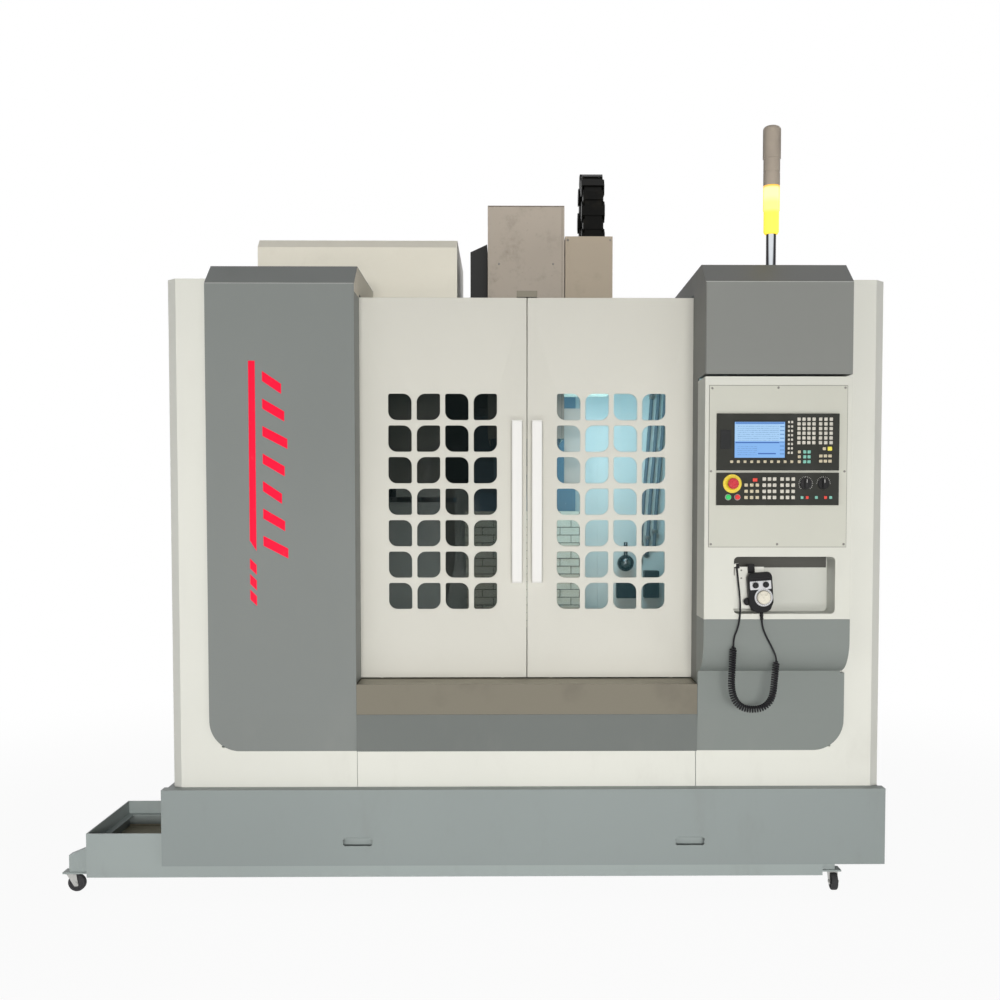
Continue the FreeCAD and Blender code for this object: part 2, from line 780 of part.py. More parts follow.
def route(points):
    """Straight runs joined by tangent arcs, each as large as its two runs allow."""
    pts = [V(*p) for p in points]
    edges = []
    radii = []
    here = pts[0]
    for before, corner, after in zip(pts, pts[1:], pts[2:]):
        u = (before - corner).normalize()
        w = (after - corner).normalize()
        half_turn = (math.pi - u.getAngle(w)) / 2
        set_back = 0.45 * min((before - corner).Length, (after - corner).Length)
        r = set_back / math.tan(half_turn)
        start = corner + u * set_back
        end = corner + w * set_back
        inward = (u + w).normalize()
        centre = corner + inward * math.hypot(r, set_back)
        middle = centre - inward * r
        edges.append(Part.makeLine(here, start))
        edges.append(Part.Arc(start, middle, end).toShape())
        radii.append(round(r, 1))
        here = end
    edges.append(Part.makeLine(here, pts[-1]))
    return Part.Wire(edges), radii


def tube(points, diameter, name):
    path, radii = route(points)
    axis = V(*points[1]) - V(*points[0])
    turn = FreeCAD.Rotation(V(0, 0, 1), axis)
    corners = []
    for i in range(cord_sides + 1):
        a = 2 * math.pi * i / cord_sides
        corners.append(V(*points[0]) + turn.multVec(V(math.cos(a), math.sin(a), 0)) * diameter / 2)
    solid = path.makePipeShell([Part.makePolygon(corners)], True, False)
    section = cord_sides / 8 * math.sin(2 * math.pi / cord_sides) * diameter ** 2
    print(name, "radii", radii, "length", round(path.Length, 1),
          "volume over section times length", round(solid.Volume / (section * path.Length), 4))
    return solid


# ---------------------------------------------------------------- doors
def pane(x, z, lean):
    r = pane_r
    radii = (0, r, 0, r) if lean else (r, 0, r, 0)
    return outline(x, x + pane_w, z, z + pane_h, radii, door_y, pane_flats)


def door(side):
    """Folded door leaf with its lattice of panes, on two rollers."""
    near = seam_x + side * door_gap / 2
    far = near + side * door_width
    x0, x1 = min(near, far), max(near, far)
    holes = []
    for col in range(pane_cols):
        reach = pane_far + col * pane_pitch_x
        x = near + side * reach - (pane_w if side < 0 else 0)
        for row in range(pane_rows):
            z = pane_top - pane_h - row * pane_pitch_z
            lean = (col % 2 == 1) if side < 0 else (col % 2 == 0)
            holes.append(pane(x, z, lean))
    rim = outline(x0, x1, door_bottom, door_top, (0, 0, 0, 0), door_y)
    face = Part.Face(rim)
    skin = face.extrude(V(0, sheet, 0))
    openings = Part.makeCompound([Part.Face(h).extrude(V(0, sheet + 2, 0)) for h in holes])
    openings.translate(V(0, -1, 0))
    skin = skin.cut(openings)
    frame = block(x0, x1, door_y + sheet - 1, door_back, door_bottom, door_top)
    frame = frame.cut(block(x0 + sheet, x1 - sheet, door_y, door_back + 1,
                            door_bottom + sheet, door_top - sheet))
    rollers = []
    for x in (x0 + 90, x1 - 90):
        frame = frame.cut(block(x - 24, x + 24, door_back - 26, door_back - 6, door_bottom - 1,
                                door_bottom + sheet + 1))
        wheel = stud(V(x, door_back - 24, sill_top + 0.3 + roller_r), roller_r, 16, V(0, 1, 0),
                     8)
        carrier = block(x - 12, x + 12, door_y + sheet - 1, door_back - 23.5,
                        door_bottom + sheet - 1, door_bottom + 48)
        rollers.append(fuse(wheel, carrier))
    return fuse(skin, frame, *rollers)


def window(side):
    near = seam_x + side * (door_gap / 2 + pane_far - glass_margin)
    far = near + side * (pane_pitch_x * (pane_cols - 1) + pane_w + 2 * glass_margin)
    low = pane_top - pane_h - (pane_rows - 1) * pane_pitch_z - glass_margin
    return block(min(near, far), max(near, far), door_y + sheet + 0.1, door_y + sheet + glass_t,
                 low, pane_top + glass_margin)


def handle(side):
    near = seam_x + side * handle_seam
    far = near + side * handle_w
    x0, x1 = min(near, far), max(near, far)
    y0 = door_y - handle_stand - handle_t
    c = 6.0
    bar = along_z([(x0 + c, y0), (x1 - c, y0), (x1, y0 + c), (x1, y0 + handle_t),
                   (x0, y0 + handle_t), (x0, y0 + c)], handle_bottom, handle_top)
    posts = []
    for z in (handle_bottom + 70, handle_top - 70):
        posts.append(stud(V((x0 + x1) / 2, y0 + handle_t - 1, z), handle_post, handle_stand + 1,
                          V(0, 1, 0), 8))
    return fuse(bar, *posts)


def door_track():
    """Upper guide of the doors, an open channel across the cabinet, with the latch bracket."""
    back = track_back
    face = door_back + 0.5
    line = [(back, track_bottom), (face, track_bottom), (face, track_top), (back, track_top)]
    channel = along_x(folded(line, -sheet), outer_left + sheet + 0.5, outer_right - sheet - 0.5)
    riser = block(seam_x - 38, seam_x + 38, face, face + sheet, track_bottom + 1, door_top + 25)
    lid = block(seam_x - 38, seam_x + 38, door_y - 2, face + sheet, door_top + 2, door_top + 25)
    return fuse(channel, riser, lid)


# ---------------------------------------------------------------- tank on casters
caster_places = []
for tank_end, away in ((tank_left, -1), (tank_right, 1)):
    reach = caster_stand if away < 0 else 54.0
    for y in (tank_front + caster_inset, tank_back - caster_inset):
        caster_places.append((tank_end + away * reach, y, away))


def tank():
    """Long open coolant tank with an inner ledge, a raised filter bed and caster brackets."""
    w = tank_wall
    shell = block(tank_left, tank_right, tank_front, tank_back, tank_bottom, tank_top)
    shell = shell.cut(block(tank_left + w, tank_right - w, tank_front + w, tank_back - w,
                            tank_bottom + w, tank_top + 1))
    ledge = block(tank_left + w - 1, tank_right - w + 1, tank_front + w - 1, tank_back - w + 1,
                  tank_ledge_z - w, tank_ledge_z)
    ledge = ledge.cut(block(tank_left + w + tank_ledge, tank_right - w - tank_ledge,
                            tank_front + w + tank_ledge, tank_back - w - tank_ledge,
                            tank_ledge_z - 2 * w, tank_ledge_z + 1))
    bed = block(tank_left + w - 1, tank_left + 700, tank_front + w - 1, tank_back - w + 1,
                tank_filter_z - w, tank_filter_z)
    weir = block(tank_left + 700 - w, tank_left + 700, tank_front + w - 1, tank_back - w + 1,
                 tank_bottom + w - 1, tank_filter_z)
    brackets = []
    half = caster_plate / 2
    top = tank_bottom + caster_plate_t
    for x, y, away in caster_places:
        end = tank_left if away < 0 else tank_right
        x0, x1 = (x - half, end) if away < 0 else (end, x + half)
        seat = block(x0, x1, y - half, y + half, tank_bottom, top)
        foot = end + away * (abs(x - end) + half - 22)
        crest = end + away * 14
        rib = along_y([(end, top - 1), (foot, top - 1), (foot, top + 62),
                       (crest, tank_top - 66), (end, tank_top - 66)], y - 18, y + 18)
        brackets.append(fuse(seat, rib))
    return fuse(shell, ledge, bed, weir, *brackets)


def caster(x, y, away):
    """Swivel fork with its wheel; the left pair trails along X, the right pair along Y."""
    r = caster_wheel_r
    top = tank_bottom - 0.3
    plate_low = top - 5
    fork = [block(-20, 20, -caster_width / 2 - 5, caster_width / 2 + 5, plate_low, top)]
    for s in (-1, 1):
        y0 = s * (caster_width / 2 + 3)
        cheek = [(-18, plate_low + 1), (20, plate_low + 1), (caster_trail + 9, r - 9),
                 (caster_trail - 9, r - 9)]
        fork.append(along_y(cheek, min(y0, y0 + 2 * s), max(y0, y0 + 2 * s)))
    for s in (-1, 1):
        fork.append(stud(V(caster_trail, s * (caster_width / 2 + 5), r), 6, 4, V(0, s, 0), 6))
    wheel = stud(V(caster_trail, -caster_width / 2, r), r, caster_width, V(0, 1, 0), 16)
    hub = stud(V(caster_trail, -caster_width / 2 - 3, r), 9, caster_width + 6, V(0, 1, 0), 6)
    body = [fuse(*fork), fuse(wheel, hub)]
    for solid in body:
        solid.rotate(V(0, 0, 0), V(0, 0, 1), 0 if away < 0 else -90)
        solid.translate(V(x, y, 0))
    return body


# ---------------------------------------------------------------- bed, feet and column
foot_places = [(x, y) for y in (0.0, foot_back_y) for x in (-foot_x, 0.0, foot_x)]


def bed():
    """Cast bed: a foot behind the tank, a nose over it, and two guideways on top."""
    side = [(bed_heel, bed_bottom), (bed_back, bed_bottom), (bed_back, bed_top),
            (bed_front, bed_top), (bed_front, 330), (bed_heel, 262)]
    body = along_x(side, -bed_half, bed_half)
    for x0, x1 in ((-bed_half - 1, -bed_half + 50), (bed_half - 50, bed_half + 1)):
        for y in (40, 370, 700, 1030):
            body = body.cut(block(x0, x1, y, y + 270, 130, 440))
    ways = []
    for s in (-1, 1):
        a, b = sorted((s * way_inner, s * way_outer))
        ways.append(block(a, b, bed_front, column_front + 60, bed_top - 1, bed_top + way_h))
    lugs = [stud(V(x, y, bed_bottom), 75, 50, V(0, 0, 1), 6) for x, y in foot_places]
    body = fuse(body, *ways, *lugs)
    body = body.cut(block(-60, 60, bed_front - 1, column_front - 60, bed_top - 40, bed_top + 1))
    for x, y in foot_places:
        body = body.cut(stud(V(x, y, bed_bottom - 1), foot_stud_r + running, 61, V(0, 0, 1), 6))
    return body


def levelling_foot(x, y):
    pad = stud(V(x, y, 0), foot_r, foot_t, V(0, 0, 1), 10)
    nut = stud(V(x, y, foot_t - 1), 28, bed_bottom - foot_t + 1, V(0, 0, 1), 6)
    bolt = stud(V(x, y, foot_t), foot_stud_r, 70, V(0, 0, 1), 6)
    return fuse(pad, nut, bolt)


def column():
    """Cast column: spread foot, arch for the way covers, side windows and upright ways."""
    shape = [(-column_foot, bed_top), (column_foot, bed_top), (column_foot, bed_top + 180),
             (column_half, column_waist), (column_half, column_top), (-column_half, column_top),
             (-column_half, column_waist), (-column_foot, bed_top + 180)]
    body = along_y(shape, column_front, column_back)
    arch = block(-y_cover_half - 5, y_cover_half + 5, column_front - 1, column_front + 70,
                 bed_top - 1, y_cover_top + 30)
    body = body.cut(arch)
    body = body.cut(block(-220, 220, column_front + 70, column_back + 1,
                          bed_top - 1, column_way_low))
    for z in (1250, 1600, 1950):
        body = body.cut(block(-column_half - 1, -column_half + 60, 1010, 1300, z, z + 230))
        body = body.cut(block(column_half - 60, column_half + 1, 1010, 1300, z, z + 230))
    ways = []
    for s in (-1, 1):
        a, b = sorted((s * column_way_inner, s * column_way_outer))
        ways.append(block(a, b, column_front - column_way_t, column_front + 1,
                          column_way_low, column_top - 20))
    shelf = block(chain_left, chain_left + chain_w, 470, column_front + 90, column_top,
                  chain_fixed_z)
    web = block(chain_left + 40, chain_left + 50, column_front - 160, column_front + 1,
                column_top - 90, column_top + 1)
    return fuse(body, *ways, shelf, web)


def motor(size, length, base, axis):
    """Servo motor: a square housing with a slightly smaller encoder cover behind it."""
    body = Part.makeBox(size, size, length)
    body.translate(V(-size / 2, -size / 2, 0))
    back = Part.makeBox(size - 16, size - 16, length * 0.4)
    back.translate(V(-size / 2 + 8, -size / 2 + 8, length))
    whole = fuse(body, back)
    turn = FreeCAD.Rotation(V(0, 0, 1), axis)
    whole.Placement = FreeCAD.Placement(base, turn)
    return whole


def axis_drives():
    """The bed's and the column's ball screws, each in one line with its motor."""
    upright = motor(150, 190, V(0, screw_y, column_top + 8), V(0, 0, 1))
    stand = block(-90, 90, screw_y - 90, column_front + 120, column_top + 0.3, column_top + 8)
    screw_z = stud(V(0, screw_y, 700), screw_r, column_top + 1 - 700, V(0, 0, 1))
    size = 2 * (bed_screw_z - bed_top) - 2
    low = motor(size, 160, V(0, column_front + 140, bed_screw_z), V(0, 1, 0))
    screw_low = stud(V(0, bed_front + 60, bed_screw_z), screw_r, column_front + 1 - bed_front,
                     V(0, 1, 0))
    bearing = block(-70, 70, column_front + 60, column_front + 141, bed_top + 0.3, bed_top + 120)
    front_block = block(-50, 50, bed_front + 20, bed_front + 61, bed_top - 39.7,
                        bed_screw_z + 40)
    return fuse(upright, stand, screw_z), fuse(low, screw_low, bearing, front_block)


# ---------------------------------------------------------------- saddle, table and way covers
def saddle():
    """Cross slide: it rides on the bed's ways and carries the table's ways."""
    y0 = spindle_y - saddle_reach
    y1 = spindle_y + saddle_reach
    low = bed_top + 12
    body = block(-saddle_half, saddle_half, y0, y1, bed_top + way_h + running, saddle_top)
    legs = block(-way_outer - 60, way_outer + 60, y0, y1, low, saddle_top - 60)
    body = body.fuse(legs)
    for s in (-1, 1):
        a, b = sorted((s * (way_inner - running), s * (way_outer + running)))
        body = body.cut(block(a, b, y0 - 1, y1 + 1, low - 1, bed_top + way_h + running))
    body = body.cut(block(-way_inner + 50, way_inner - 50, y0 - 1, y1 + 1, low - 1,
                          bed_top + way_h + 70))
    ways = []
    for s in (-1, 1):
        a, b = sorted((spindle_y + s * saddle_way_inner, spindle_y + s * saddle_way_outer))
        ways.append(block(-saddle_half, saddle_half, a, b, saddle_top - 1,
                          saddle_top + saddle_way))
    nut = block(-45, 45, spindle_y - 60, spindle_y + 60, bed_screw_z - 32, bed_top + way_h + 80)
    nut = nut.cut(stud(V(0, spindle_y - 61, bed_screw_z), screw_r + running, 122, V(0, 1, 0)))
    body = fuse(body, *ways, nut)
    x_screw_z = saddle_top + x_screw_rise
    screw = stud(V(-saddle_half + 10, spindle_y, x_screw_z), x_screw_r, 2 * saddle_half + 50,
                 V(1, 0, 0))
    drive = motor(96, 140, V(saddle_half + 60, spindle_y, x_screw_z), V(1, 0, 0))
    mount = block(saddle_half + 0.3, saddle_half + 61, spindle_y - 60, spindle_y + 60,
                  saddle_top - 60, x_screw_z + 44)
    bearing = block(-saddle_half, -saddle_half + 21, spindle_y - 40, spindle_y + 40,
                    saddle_top + 0.3, x_screw_z + 28)
    return body, fuse(screw, drive, mount, bearing)


def table():
    """Work table with T-slots along its length, a coolant channel and ways under it."""
    y0 = spindle_y - table_reach
    y1 = spindle_y + table_reach
    low = saddle_top + saddle_way + running
    body = block(-table_half, table_half, y0, y1, low, table_top)
    for i in range(slot_count):
        y = spindle_y + (i - (slot_count - 1) / 2) * slot_pitch
        slot = along_x([(y - slot_w / 2, table_top + 1), (y + slot_w / 2, table_top + 1),
                        (y + slot_w / 2, table_top - slot_lip),
                        (y + slot_wide / 2, table_top - slot_lip),
                        (y + slot_wide / 2, table_top - slot_depth),
                        (y - slot_wide / 2, table_top - slot_depth),
                        (y - slot_wide / 2, table_top - slot_lip),
                        (y - slot_w / 2, table_top - slot_lip)],
                       -table_half - 1, table_half + 1)
        body = body.cut(slot)
    body = body.cut(block(-table_half - 1, table_half + 1, y0 - 1, y0 + 22, table_top - 14,
                          table_top + 1))
    body = body.cut(block(-table_half - 1, table_half + 1, y1 - 22, y1 + 1, table_top - 14,
                          table_top + 1))
    body = body.cut(block(-table_half - 1, table_half + 1, spindle_y - 72, spindle_y + 72,
                          low - 1, low + 34))
    nut = block(-x_nut_half, x_nut_half, spindle_y - 35, spindle_y + 35, saddle_top + 1,
                low + 35)
    nut = nut.cut(stud(V(-x_nut_half - 1, spindle_y, saddle_top + x_screw_rise),
                       x_screw_r + running, 2 * x_nut_half + 2, V(1, 0, 0)))
    skirts = []
    for s in (-1, 1):
        inner = spindle_y + s * (saddle_way_outer + running)
        outer = spindle_y + s * (saddle_way_outer + 50)
        skirts.append(block(-table_half, table_half, min(inner, outer), max(inner, outer),
                            saddle_top + 2, low + 1))
    return fuse(body, nut, *skirts)


def y_way_covers():
    """Roofed steel covers that the saddle pushes and pulls over the bed's ways."""
    def cover(y0, y1):
        line = [(-y_cover_half, bed_top + 14), (-y_cover_half, y_cover_top - 36),
                (0, y_cover_top), (y_cover_half, y_cover_top - 36), (y_cover_half, bed_top + 14)]
        return along_y(folded(line, -sheet), y0, y1)
    front = spindle_y - saddle_reach
    back = spindle_y + saddle_reach
    return cover(front - y_cover_front, front - 0.3), cover(back + 0.3, back + y_cover_back)


# ---------------------------------------------------------------- head
def headstock():
    """Cast head: the slide on the column's ways, the arm, and the spindle's housing."""
    slide = block(-slide_half, slide_half, slide_front, column_front - 2, slide_bottom, slide_top)
    for s in (-1, 1):
        a, b = sorted((s * (column_way_inner - running), s * (column_way_outer + running)))
        slide = slide.cut(block(a, b, column_front - column_way_t - running, column_front,
                                slide_bottom - 1, slide_top + 1))
    slide = slide.cut(block(-50, 50, screw_y - 50, column_front, slide_bottom - 1, slide_top + 1))
    nut = block(-40, 40, screw_y - 51, screw_y + 36, 1700, 1780)
    nut = nut.cut(stud(V(0, screw_y, 1699), screw_r + running, 82, V(0, 0, 1)))
    side = [(slide_front + 1, 1480), (slide_front - 345, 1600), (320, arm_bottom),
            (arm_front, arm_bottom), (arm_front, arm_top), (spindle_y + 150, arm_top),
            (slide_front + 1, 2040)]
    arm = along_x(side, -arm_half, arm_half)
    quill = stud(V(0, spindle_y, quill_bottom), quill_r, arm_bottom - quill_bottom + 1,
                 V(0, 0, 1), 16)
    body = fuse(slide, nut, arm, quill)
    bore_r = (spindle_r + running) / math.cos(math.pi / 24)
    body = body.cut(stud(V(0, spindle_y, quill_bottom - 1), bore_r,
                         arm_top - quill_bottom + 2, V(0, 0, 1), 24))
    flange = stud(V(0, spindle_y, arm_top + 0.3), 120, 30, V(0, 0, 1), 16)
    housing = block(-105, 105, spindle_y - 105, spindle_y + 105, arm_top + 30, arm_top + 420)
    return body, fuse(flange, housing)


def head_cover():
    """Sheet cover round the head's front, with the raised outline of its removable panel."""
    y0 = head_front
    y1 = head_front + head_depth
    shell = block(-head_half, head_half, y0, y1, head_bottom, head_top)
    shell = shell.cut(block(-head_half + sheet, head_half - sheet, y0 + sheet, y1 + 1,
                            head_bottom - 1, head_top - sheet))
    panel = block(-panel_half, panel_half, y0 - 3, y0 + 1, panel_bottom, panel_top)
    ties = []
    for s in (-1, 1):
        a, b = sorted((s * (arm_half + running), s * (head_half - 1)))
        ties.append(block(a, b, 300, 360, 1800, 1860))
    return fuse(shell, panel, *ties)


def junction_box():
    """Terminal box on the head's right side and the dark guard on its left side."""
    box = block(box_left, box_right, box_front, box_front + box_depth, box_bottom, box_top)
    lid = block(box_left + 14, box_right - 14, box_front - 3, box_front + 1, box_bottom + 20,
                box_top - 20)
    spacer = block(head_half + 0.3, box_left + 1, box_front + 60, box_front + 120,
                   box_bottom + 200, box_bottom + 400)
    guard = along_y([(guard_left, guard_bottom), (guard_right, guard_bottom),
                     (guard_right, guard_top), (guard_left, guard_top - guard_fall)], 80, 500)
    stay = block(guard_right - 1, -head_half - 0.3, 200, 260, guard_bottom + 270,
                 guard_bottom + 370)
    return fuse(box, lid, spacer), fuse(guard, stay)


def spindle():
    """Spindle with its flanged nose, the 7:24 taper and two driving keys."""
    y = spindle_y
    body = turned(V(0, y, nose_z), [(nose_r, 0), (nose_r, 26), (spindle_r, 31),
                                    (spindle_r, spindle_length)], V(0, 0, 1), 16)
    bore_r = taper_r - taper_length * 7 / 48
    taper = turned(V(0, y, nose_z), [(taper_r, 0), (bore_r, taper_length)], V(0, 0, 1), 32)
    body = body.cut(taper)
    keys = []
    for s in (-1, 1):
        a, b = sorted((s * 26.0, s * 48.0))
        keys.append(block(a, b, y - 8, y + 8, nose_z - 8, nose_z + 1))
    return fuse(body, *keys)


def cable_chain():
    """Energy chain: links of two cheeks and two lids, pinned at their overlapping ends."""
    x_mid = chain_left + chain_w / 2
    turn_y = chain_front + chain_t / 2 + chain_r
    start_z = box_top + running
    front_run = chain_turn_z - start_z
    arc_run = math.pi * chain_r
    back_run = chain_turn_z - chain_fixed_z - running

    def at(s):
        """Point and heading on the chain's middle line, from its moving to its fixed end."""
        if s < front_run:
            return chain_front + chain_t / 2, start_z + s, 90.0
        if s < front_run + arc_run:
            a = math.pi - (s - front_run) / chain_r
            return (turn_y + chain_r * math.cos(a), chain_turn_z + chain_r * math.sin(a),
                    math.degrees(a) - 90.0)
        return (turn_y + chain_r, chain_turn_z - (s - front_run - arc_run), -90.0)

    total = front_run + arc_run + back_run
    count = round(total / chain_pitch)
    step = total / count
    links = []
    for i in range(count):
        wide = i % 2 == 0
        half = chain_w / 2 - (0 if wide else 6.5)
        ends = chain_t / 2
        reach = step / 2 + ends * 0.55
        low = step / 2 if i == 0 else reach
        high = step / 2 if i == count - 1 else reach
        corner = ends * 0.85
        shape = [(-low, 0), (corner - low, -ends), (high - corner, -ends), (high, 0),
                 (high - corner, ends), (corner - low, ends)]
        cheeks = []
        for s in (-1, 1):
            x0, x1 = sorted((s * half, s * (half - 6)))
            cheeks.append(along_x(shape, x0, x1))
        lids = []
        for z in (-ends, ends - 5):
            lids.append(block(-half, half, corner - low, high - corner, z, z + 5))
        link = fuse(*cheeks, *lids)
        y, z, heading = at((i + 0.5) * step)
        link.rotate(V(0, 0, 0), V(1, 0, 0), heading)
        link.translate(V(x_mid, y, z))
        links.append(link)
    return links


def z_way_cover():
    """Telescopic cover of the column's ways, below the head: nested folded steps."""
    top = slide_bottom - running
    rise = (top - z_cover_bottom) / z_cover_steps
    steps = []
    for i in range(z_cover_steps):
        inset = (sheet + running) * (z_cover_steps - 1 - i)
        half = z_cover_half - inset
        front = slide_front + inset
        low = z_cover_bottom + i * rise - (14 if i else 0)
        high = z_cover_bottom + (i + 1) * rise
        plan = [(half, column_front - 12), (half, front), (-half, front),
                (-half, column_front - 12)]
        steps.append(along_z(folded(plan, -sheet), low, high))
    return steps


# ---------------------------------------------------------------- tool magazine
def magazine_cover():
    """Tall sheet cover over the magazine, slanted at its top front edge."""
    side = [(cover_front, cover_bottom), (cover_front, cover_bend),
            (cover_front + 40, cover_top), (cover_back, cover_top), (cover_back, cover_bottom)]
    outer = along_x(side, cover_left, cover_right)
    inner = [(cover_front + sheet, cover_bottom - 1), (cover_front + sheet, cover_bend - 2),
             (cover_front + 42, cover_top - sheet), (cover_back - sheet, cover_top - sheet),
             (cover_back - sheet, cover_bottom - 1)]
    shell = outer.cut(along_x(inner, cover_left + sheet, cover_right - sheet))
    shell = shell.cut(block(cover_right - sheet - 1, cover_right + 1, cover_front + sheet,
                            cover_back + 1, cover_bottom - 1, cover_side_bottom))
    return shell.cut(block(cover_left + sheet, cover_right + 1, cover_back - sheet - 1,
                           cover_back + 1, cover_bottom - 1, cover_side_bottom))


def magazine_guide():
    """Beam on the column's side and the two rods that the magazine slides on."""
    beam = block(beam_left, beam_right, 20, 1110, guide_z - 100, guide_z + 60)
    foot = block(beam_right - 1, -column_half, 1000, 1110, guide_z - 100, guide_z + 60)
    rods = []
    for y in (guide_front, guide_back):
        rods.append(stud(V(-950, y, guide_z), guide_r, 950 + beam_left + 1, V(1, 0, 0)))
    stop = block(-966, -949, 20, guide_back + 40, guide_z - 30, guide_z + 30)
    return fuse(beam, foot, *rods, stop)


def magazine_carriage():
    """Sliding carriage with its bushes, motor and the hub that the disc hangs from."""
    x = magazine_x
    deck = block(x - 240, x + 80, 30, guide_back + 40, carriage_z, carriage_z + carriage_t)
    blocks = []
    for y in (guide_front, guide_back):
        bush = block(x - 240, x - 90, y - 35, y + 35, carriage_z + 1, guide_z + 34)
        bore = stud(V(x - 241, y, guide_z), guide_r + running, 152, V(1, 0, 0))
        blocks.append(bush.cut(bore))
    drive = block(x - 230, x - 110, 115, 245, carriage_z + 1, carriage_z + 170)
    hub = stud(V(x, spindle_y, disc_z + disc_t + 0.3), hub_r, carriage_z - disc_z - disc_t,
               V(0, 0, 1))
    pin = stud(V(x, spindle_y, disc_z - 20), hub_pin_r, 30 + disc_t, V(0, 0, 1), 16)
    return fuse(deck, *blocks, drive, hub, pin)


def magazine_disc():
    """Disc whose rim is notched for the tools' flanges, with a pair of fingers at each."""
    outline_points = []
    step = 2 * math.pi / pocket_count
    for i in range(pocket_count):
        for r, part in ((disc_r, -0.30), (pocket_circle - 22, -0.10), (pocket_circle - 22, 0.10),
                        (disc_r, 0.30)):
            a = (i + part) * step
            outline_points.append((magazine_x + r * math.cos(a), spindle_y + r * math.sin(a)))
    body = along_z(outline_points, disc_z, disc_z + disc_t)
    boss = stud(V(magazine_x, spindle_y, disc_z - 18), 60, 19, V(0, 0, 1), 12)
    body = fuse(body, boss)
    bore_r = (hub_pin_r + running) / math.cos(math.pi / 16)
    return body.cut(stud(V(magazine_x, spindle_y, disc_z - 21), bore_r, 60, V(0, 0, 1), 16))


# ---------------------------------------------------------------- tower light, rear locker
def tower_light():
    foot = hood_top_right
    base = stud(V(tower_x, tower_y, foot), 34, 10, V(0, 0, 1), 16)
    pole = stud(V(tower_x, tower_y, foot + 9), tower_pole_r, tower_lamp_z - foot - 8,
                V(0, 0, 1), 16)
    low_r = tower_r - tower_step
    lamp = turned(V(tower_x, tower_y, 0),
                  [(low_r - 4, tower_lamp_z), (low_r, tower_lamp_z + 8), (low_r, tower_joint_z),
                   (tower_r, tower_joint_z + 2), (tower_r, tower_cap_z),
                   (tower_cap_r, tower_cap_z + 2), (tower_cap_r, tower_top - 10),
                   (tower_cap_r - 10, tower_top)], V(0, 0, 1), 16)
    return fuse(base, pole, lamp)


locker_y = column_back + running
locker_back = locker_y + locker_depth
locker_door_y = locker_back + 0.5
hinge_x = locker_half + 1 + locker_hinge_r
hinge_y = locker_door_y + locker_door_t / 2


def electrical_cabinet():
    """Electrical cabinet behind the column, open towards its door."""
    y1 = locker_back
    shell = block(-locker_half, locker_half, locker_y, y1, locker_bottom, locker_top)
    shell = shell.cut(block(-locker_half + sheet, locker_half - sheet, locker_y + 30, y1 + 1,
                            locker_bottom + sheet, locker_top - sheet))
    board = block(-locker_half + 40, locker_half - 40, locker_y + 29, locker_y + 40,
                  locker_bottom + 60, locker_top - 60)
    units = []
    for x, w, h in ((-400, 180, 420), (-190, 120, 420), (-40, 120, 420), (110, 250, 300)):
        units.append(block(x, x + w, locker_y + 39, locker_y + 220, 1300, 1300 + h))
    rows = [block(-400, 360, locker_y + 39, locker_y + 100, z, z + 90) for z in (650, 850, 1050)]
    hinges = []
    for z in locker_hinges:
        top = z + locker_hinge_h
        hinges.append(block(locker_half - 1, locker_half + 3, y1 - 40, y1, z, top))
        hinges.append(block(locker_half + running, locker_half + 3, y1 - 1, hinge_y, z, top))
        hinges.append(stud(V(hinge_x, hinge_y, z), locker_hinge_r, locker_hinge_h, V(0, 0, 1), 8))
    return fuse(shell, board, *units, *rows, *hinges)


def cabinet_door():
    """Door of the electrical cabinet, hinged at the left as seen from behind."""
    y0 = locker_door_y
    leaf = block(-locker_half, locker_half, y0, y0 + locker_door_t, locker_bottom, locker_top)
    leaf = leaf.cut(block(-locker_half + sheet, locker_half - sheet, y0 - 1,
                          y0 + locker_door_t - sheet, locker_bottom + sheet, locker_top - sheet))
    y1 = y0 + locker_door_t
    grille = []
    for i in range(8):
        z = 620 + i * 24
        grille.append(along_x([(y1 - 1, z), (y1 + 12, z), (y1 - 1, z + 18)], -110, 110))
    lever = block(-locker_half + 40, -locker_half + 70, y1 - 1, y1 + 16, 1150, 1290)
    hinges = []
    for z in locker_hinges:
        low = z + locker_hinge_h + running
        top = low + locker_hinge_h
        hinges.append(block(locker_half - 1, hinge_x, hinge_y - 5, hinge_y + 5, low, top))
        hinges.append(stud(V(hinge_x, hinge_y, low), locker_hinge_r, locker_hinge_h, V(0, 0, 1), 8))
    return fuse(leaf, *grille, lever, *hinges)


# ---------------------------------------------------------------- every piece under its name
save("left_casing", left_casing())
save("right_casing", right_casing())
save("front_band", front_band())
save("left_pillar", left_pillar())
save("right_hood", right_hood())
save("right_lower_cover", right_lower_cover())
save("apron", apron())
save("sill", sill())
save("base_tray", base_tray())
save("console_housing", console_housing())
save("console_plate", console_plate())
save("console_skirt", console_skirt())
save("nc_unit", nc_unit())
save("operator_panel", operator_panel())
save("e_stop", e_stop())
save("feed_knob", knob(feed_x))
save("spindle_knob", knob(speed_x))
save("start_button", push_button(start_x))
save("stop_button", push_button(halt_x))
save("pendant_hanger", *pendant_hanger())
save("pendant_body", pendant_body())
save("pendant_dial", pendant_round(dial_at, dial_r, 14))
save("pendant_axis_knob", pendant_round(knob_at[0], small_knob_r, 12))
save("pendant_step_knob", pendant_round(knob_at[1], small_knob_r, 12))
save("pendant_button", pendant_button())
save("cord_upper", tube(cord_route_upper, cord_d, "upper lead"))
save("cord_coil", tube(curl_route, curl_d, "curled stretch"))
save("cord_lower", tube(cord_route_lower, cord_d, "lower lead"))
for side, name in ((-1, "left"), (1, "right")):
    save(name + "_door", door(side))
    save(name + "_window", window(side))
    save(name + "_handle", handle(side))
save("door_track", door_track())
save("tank", tank())
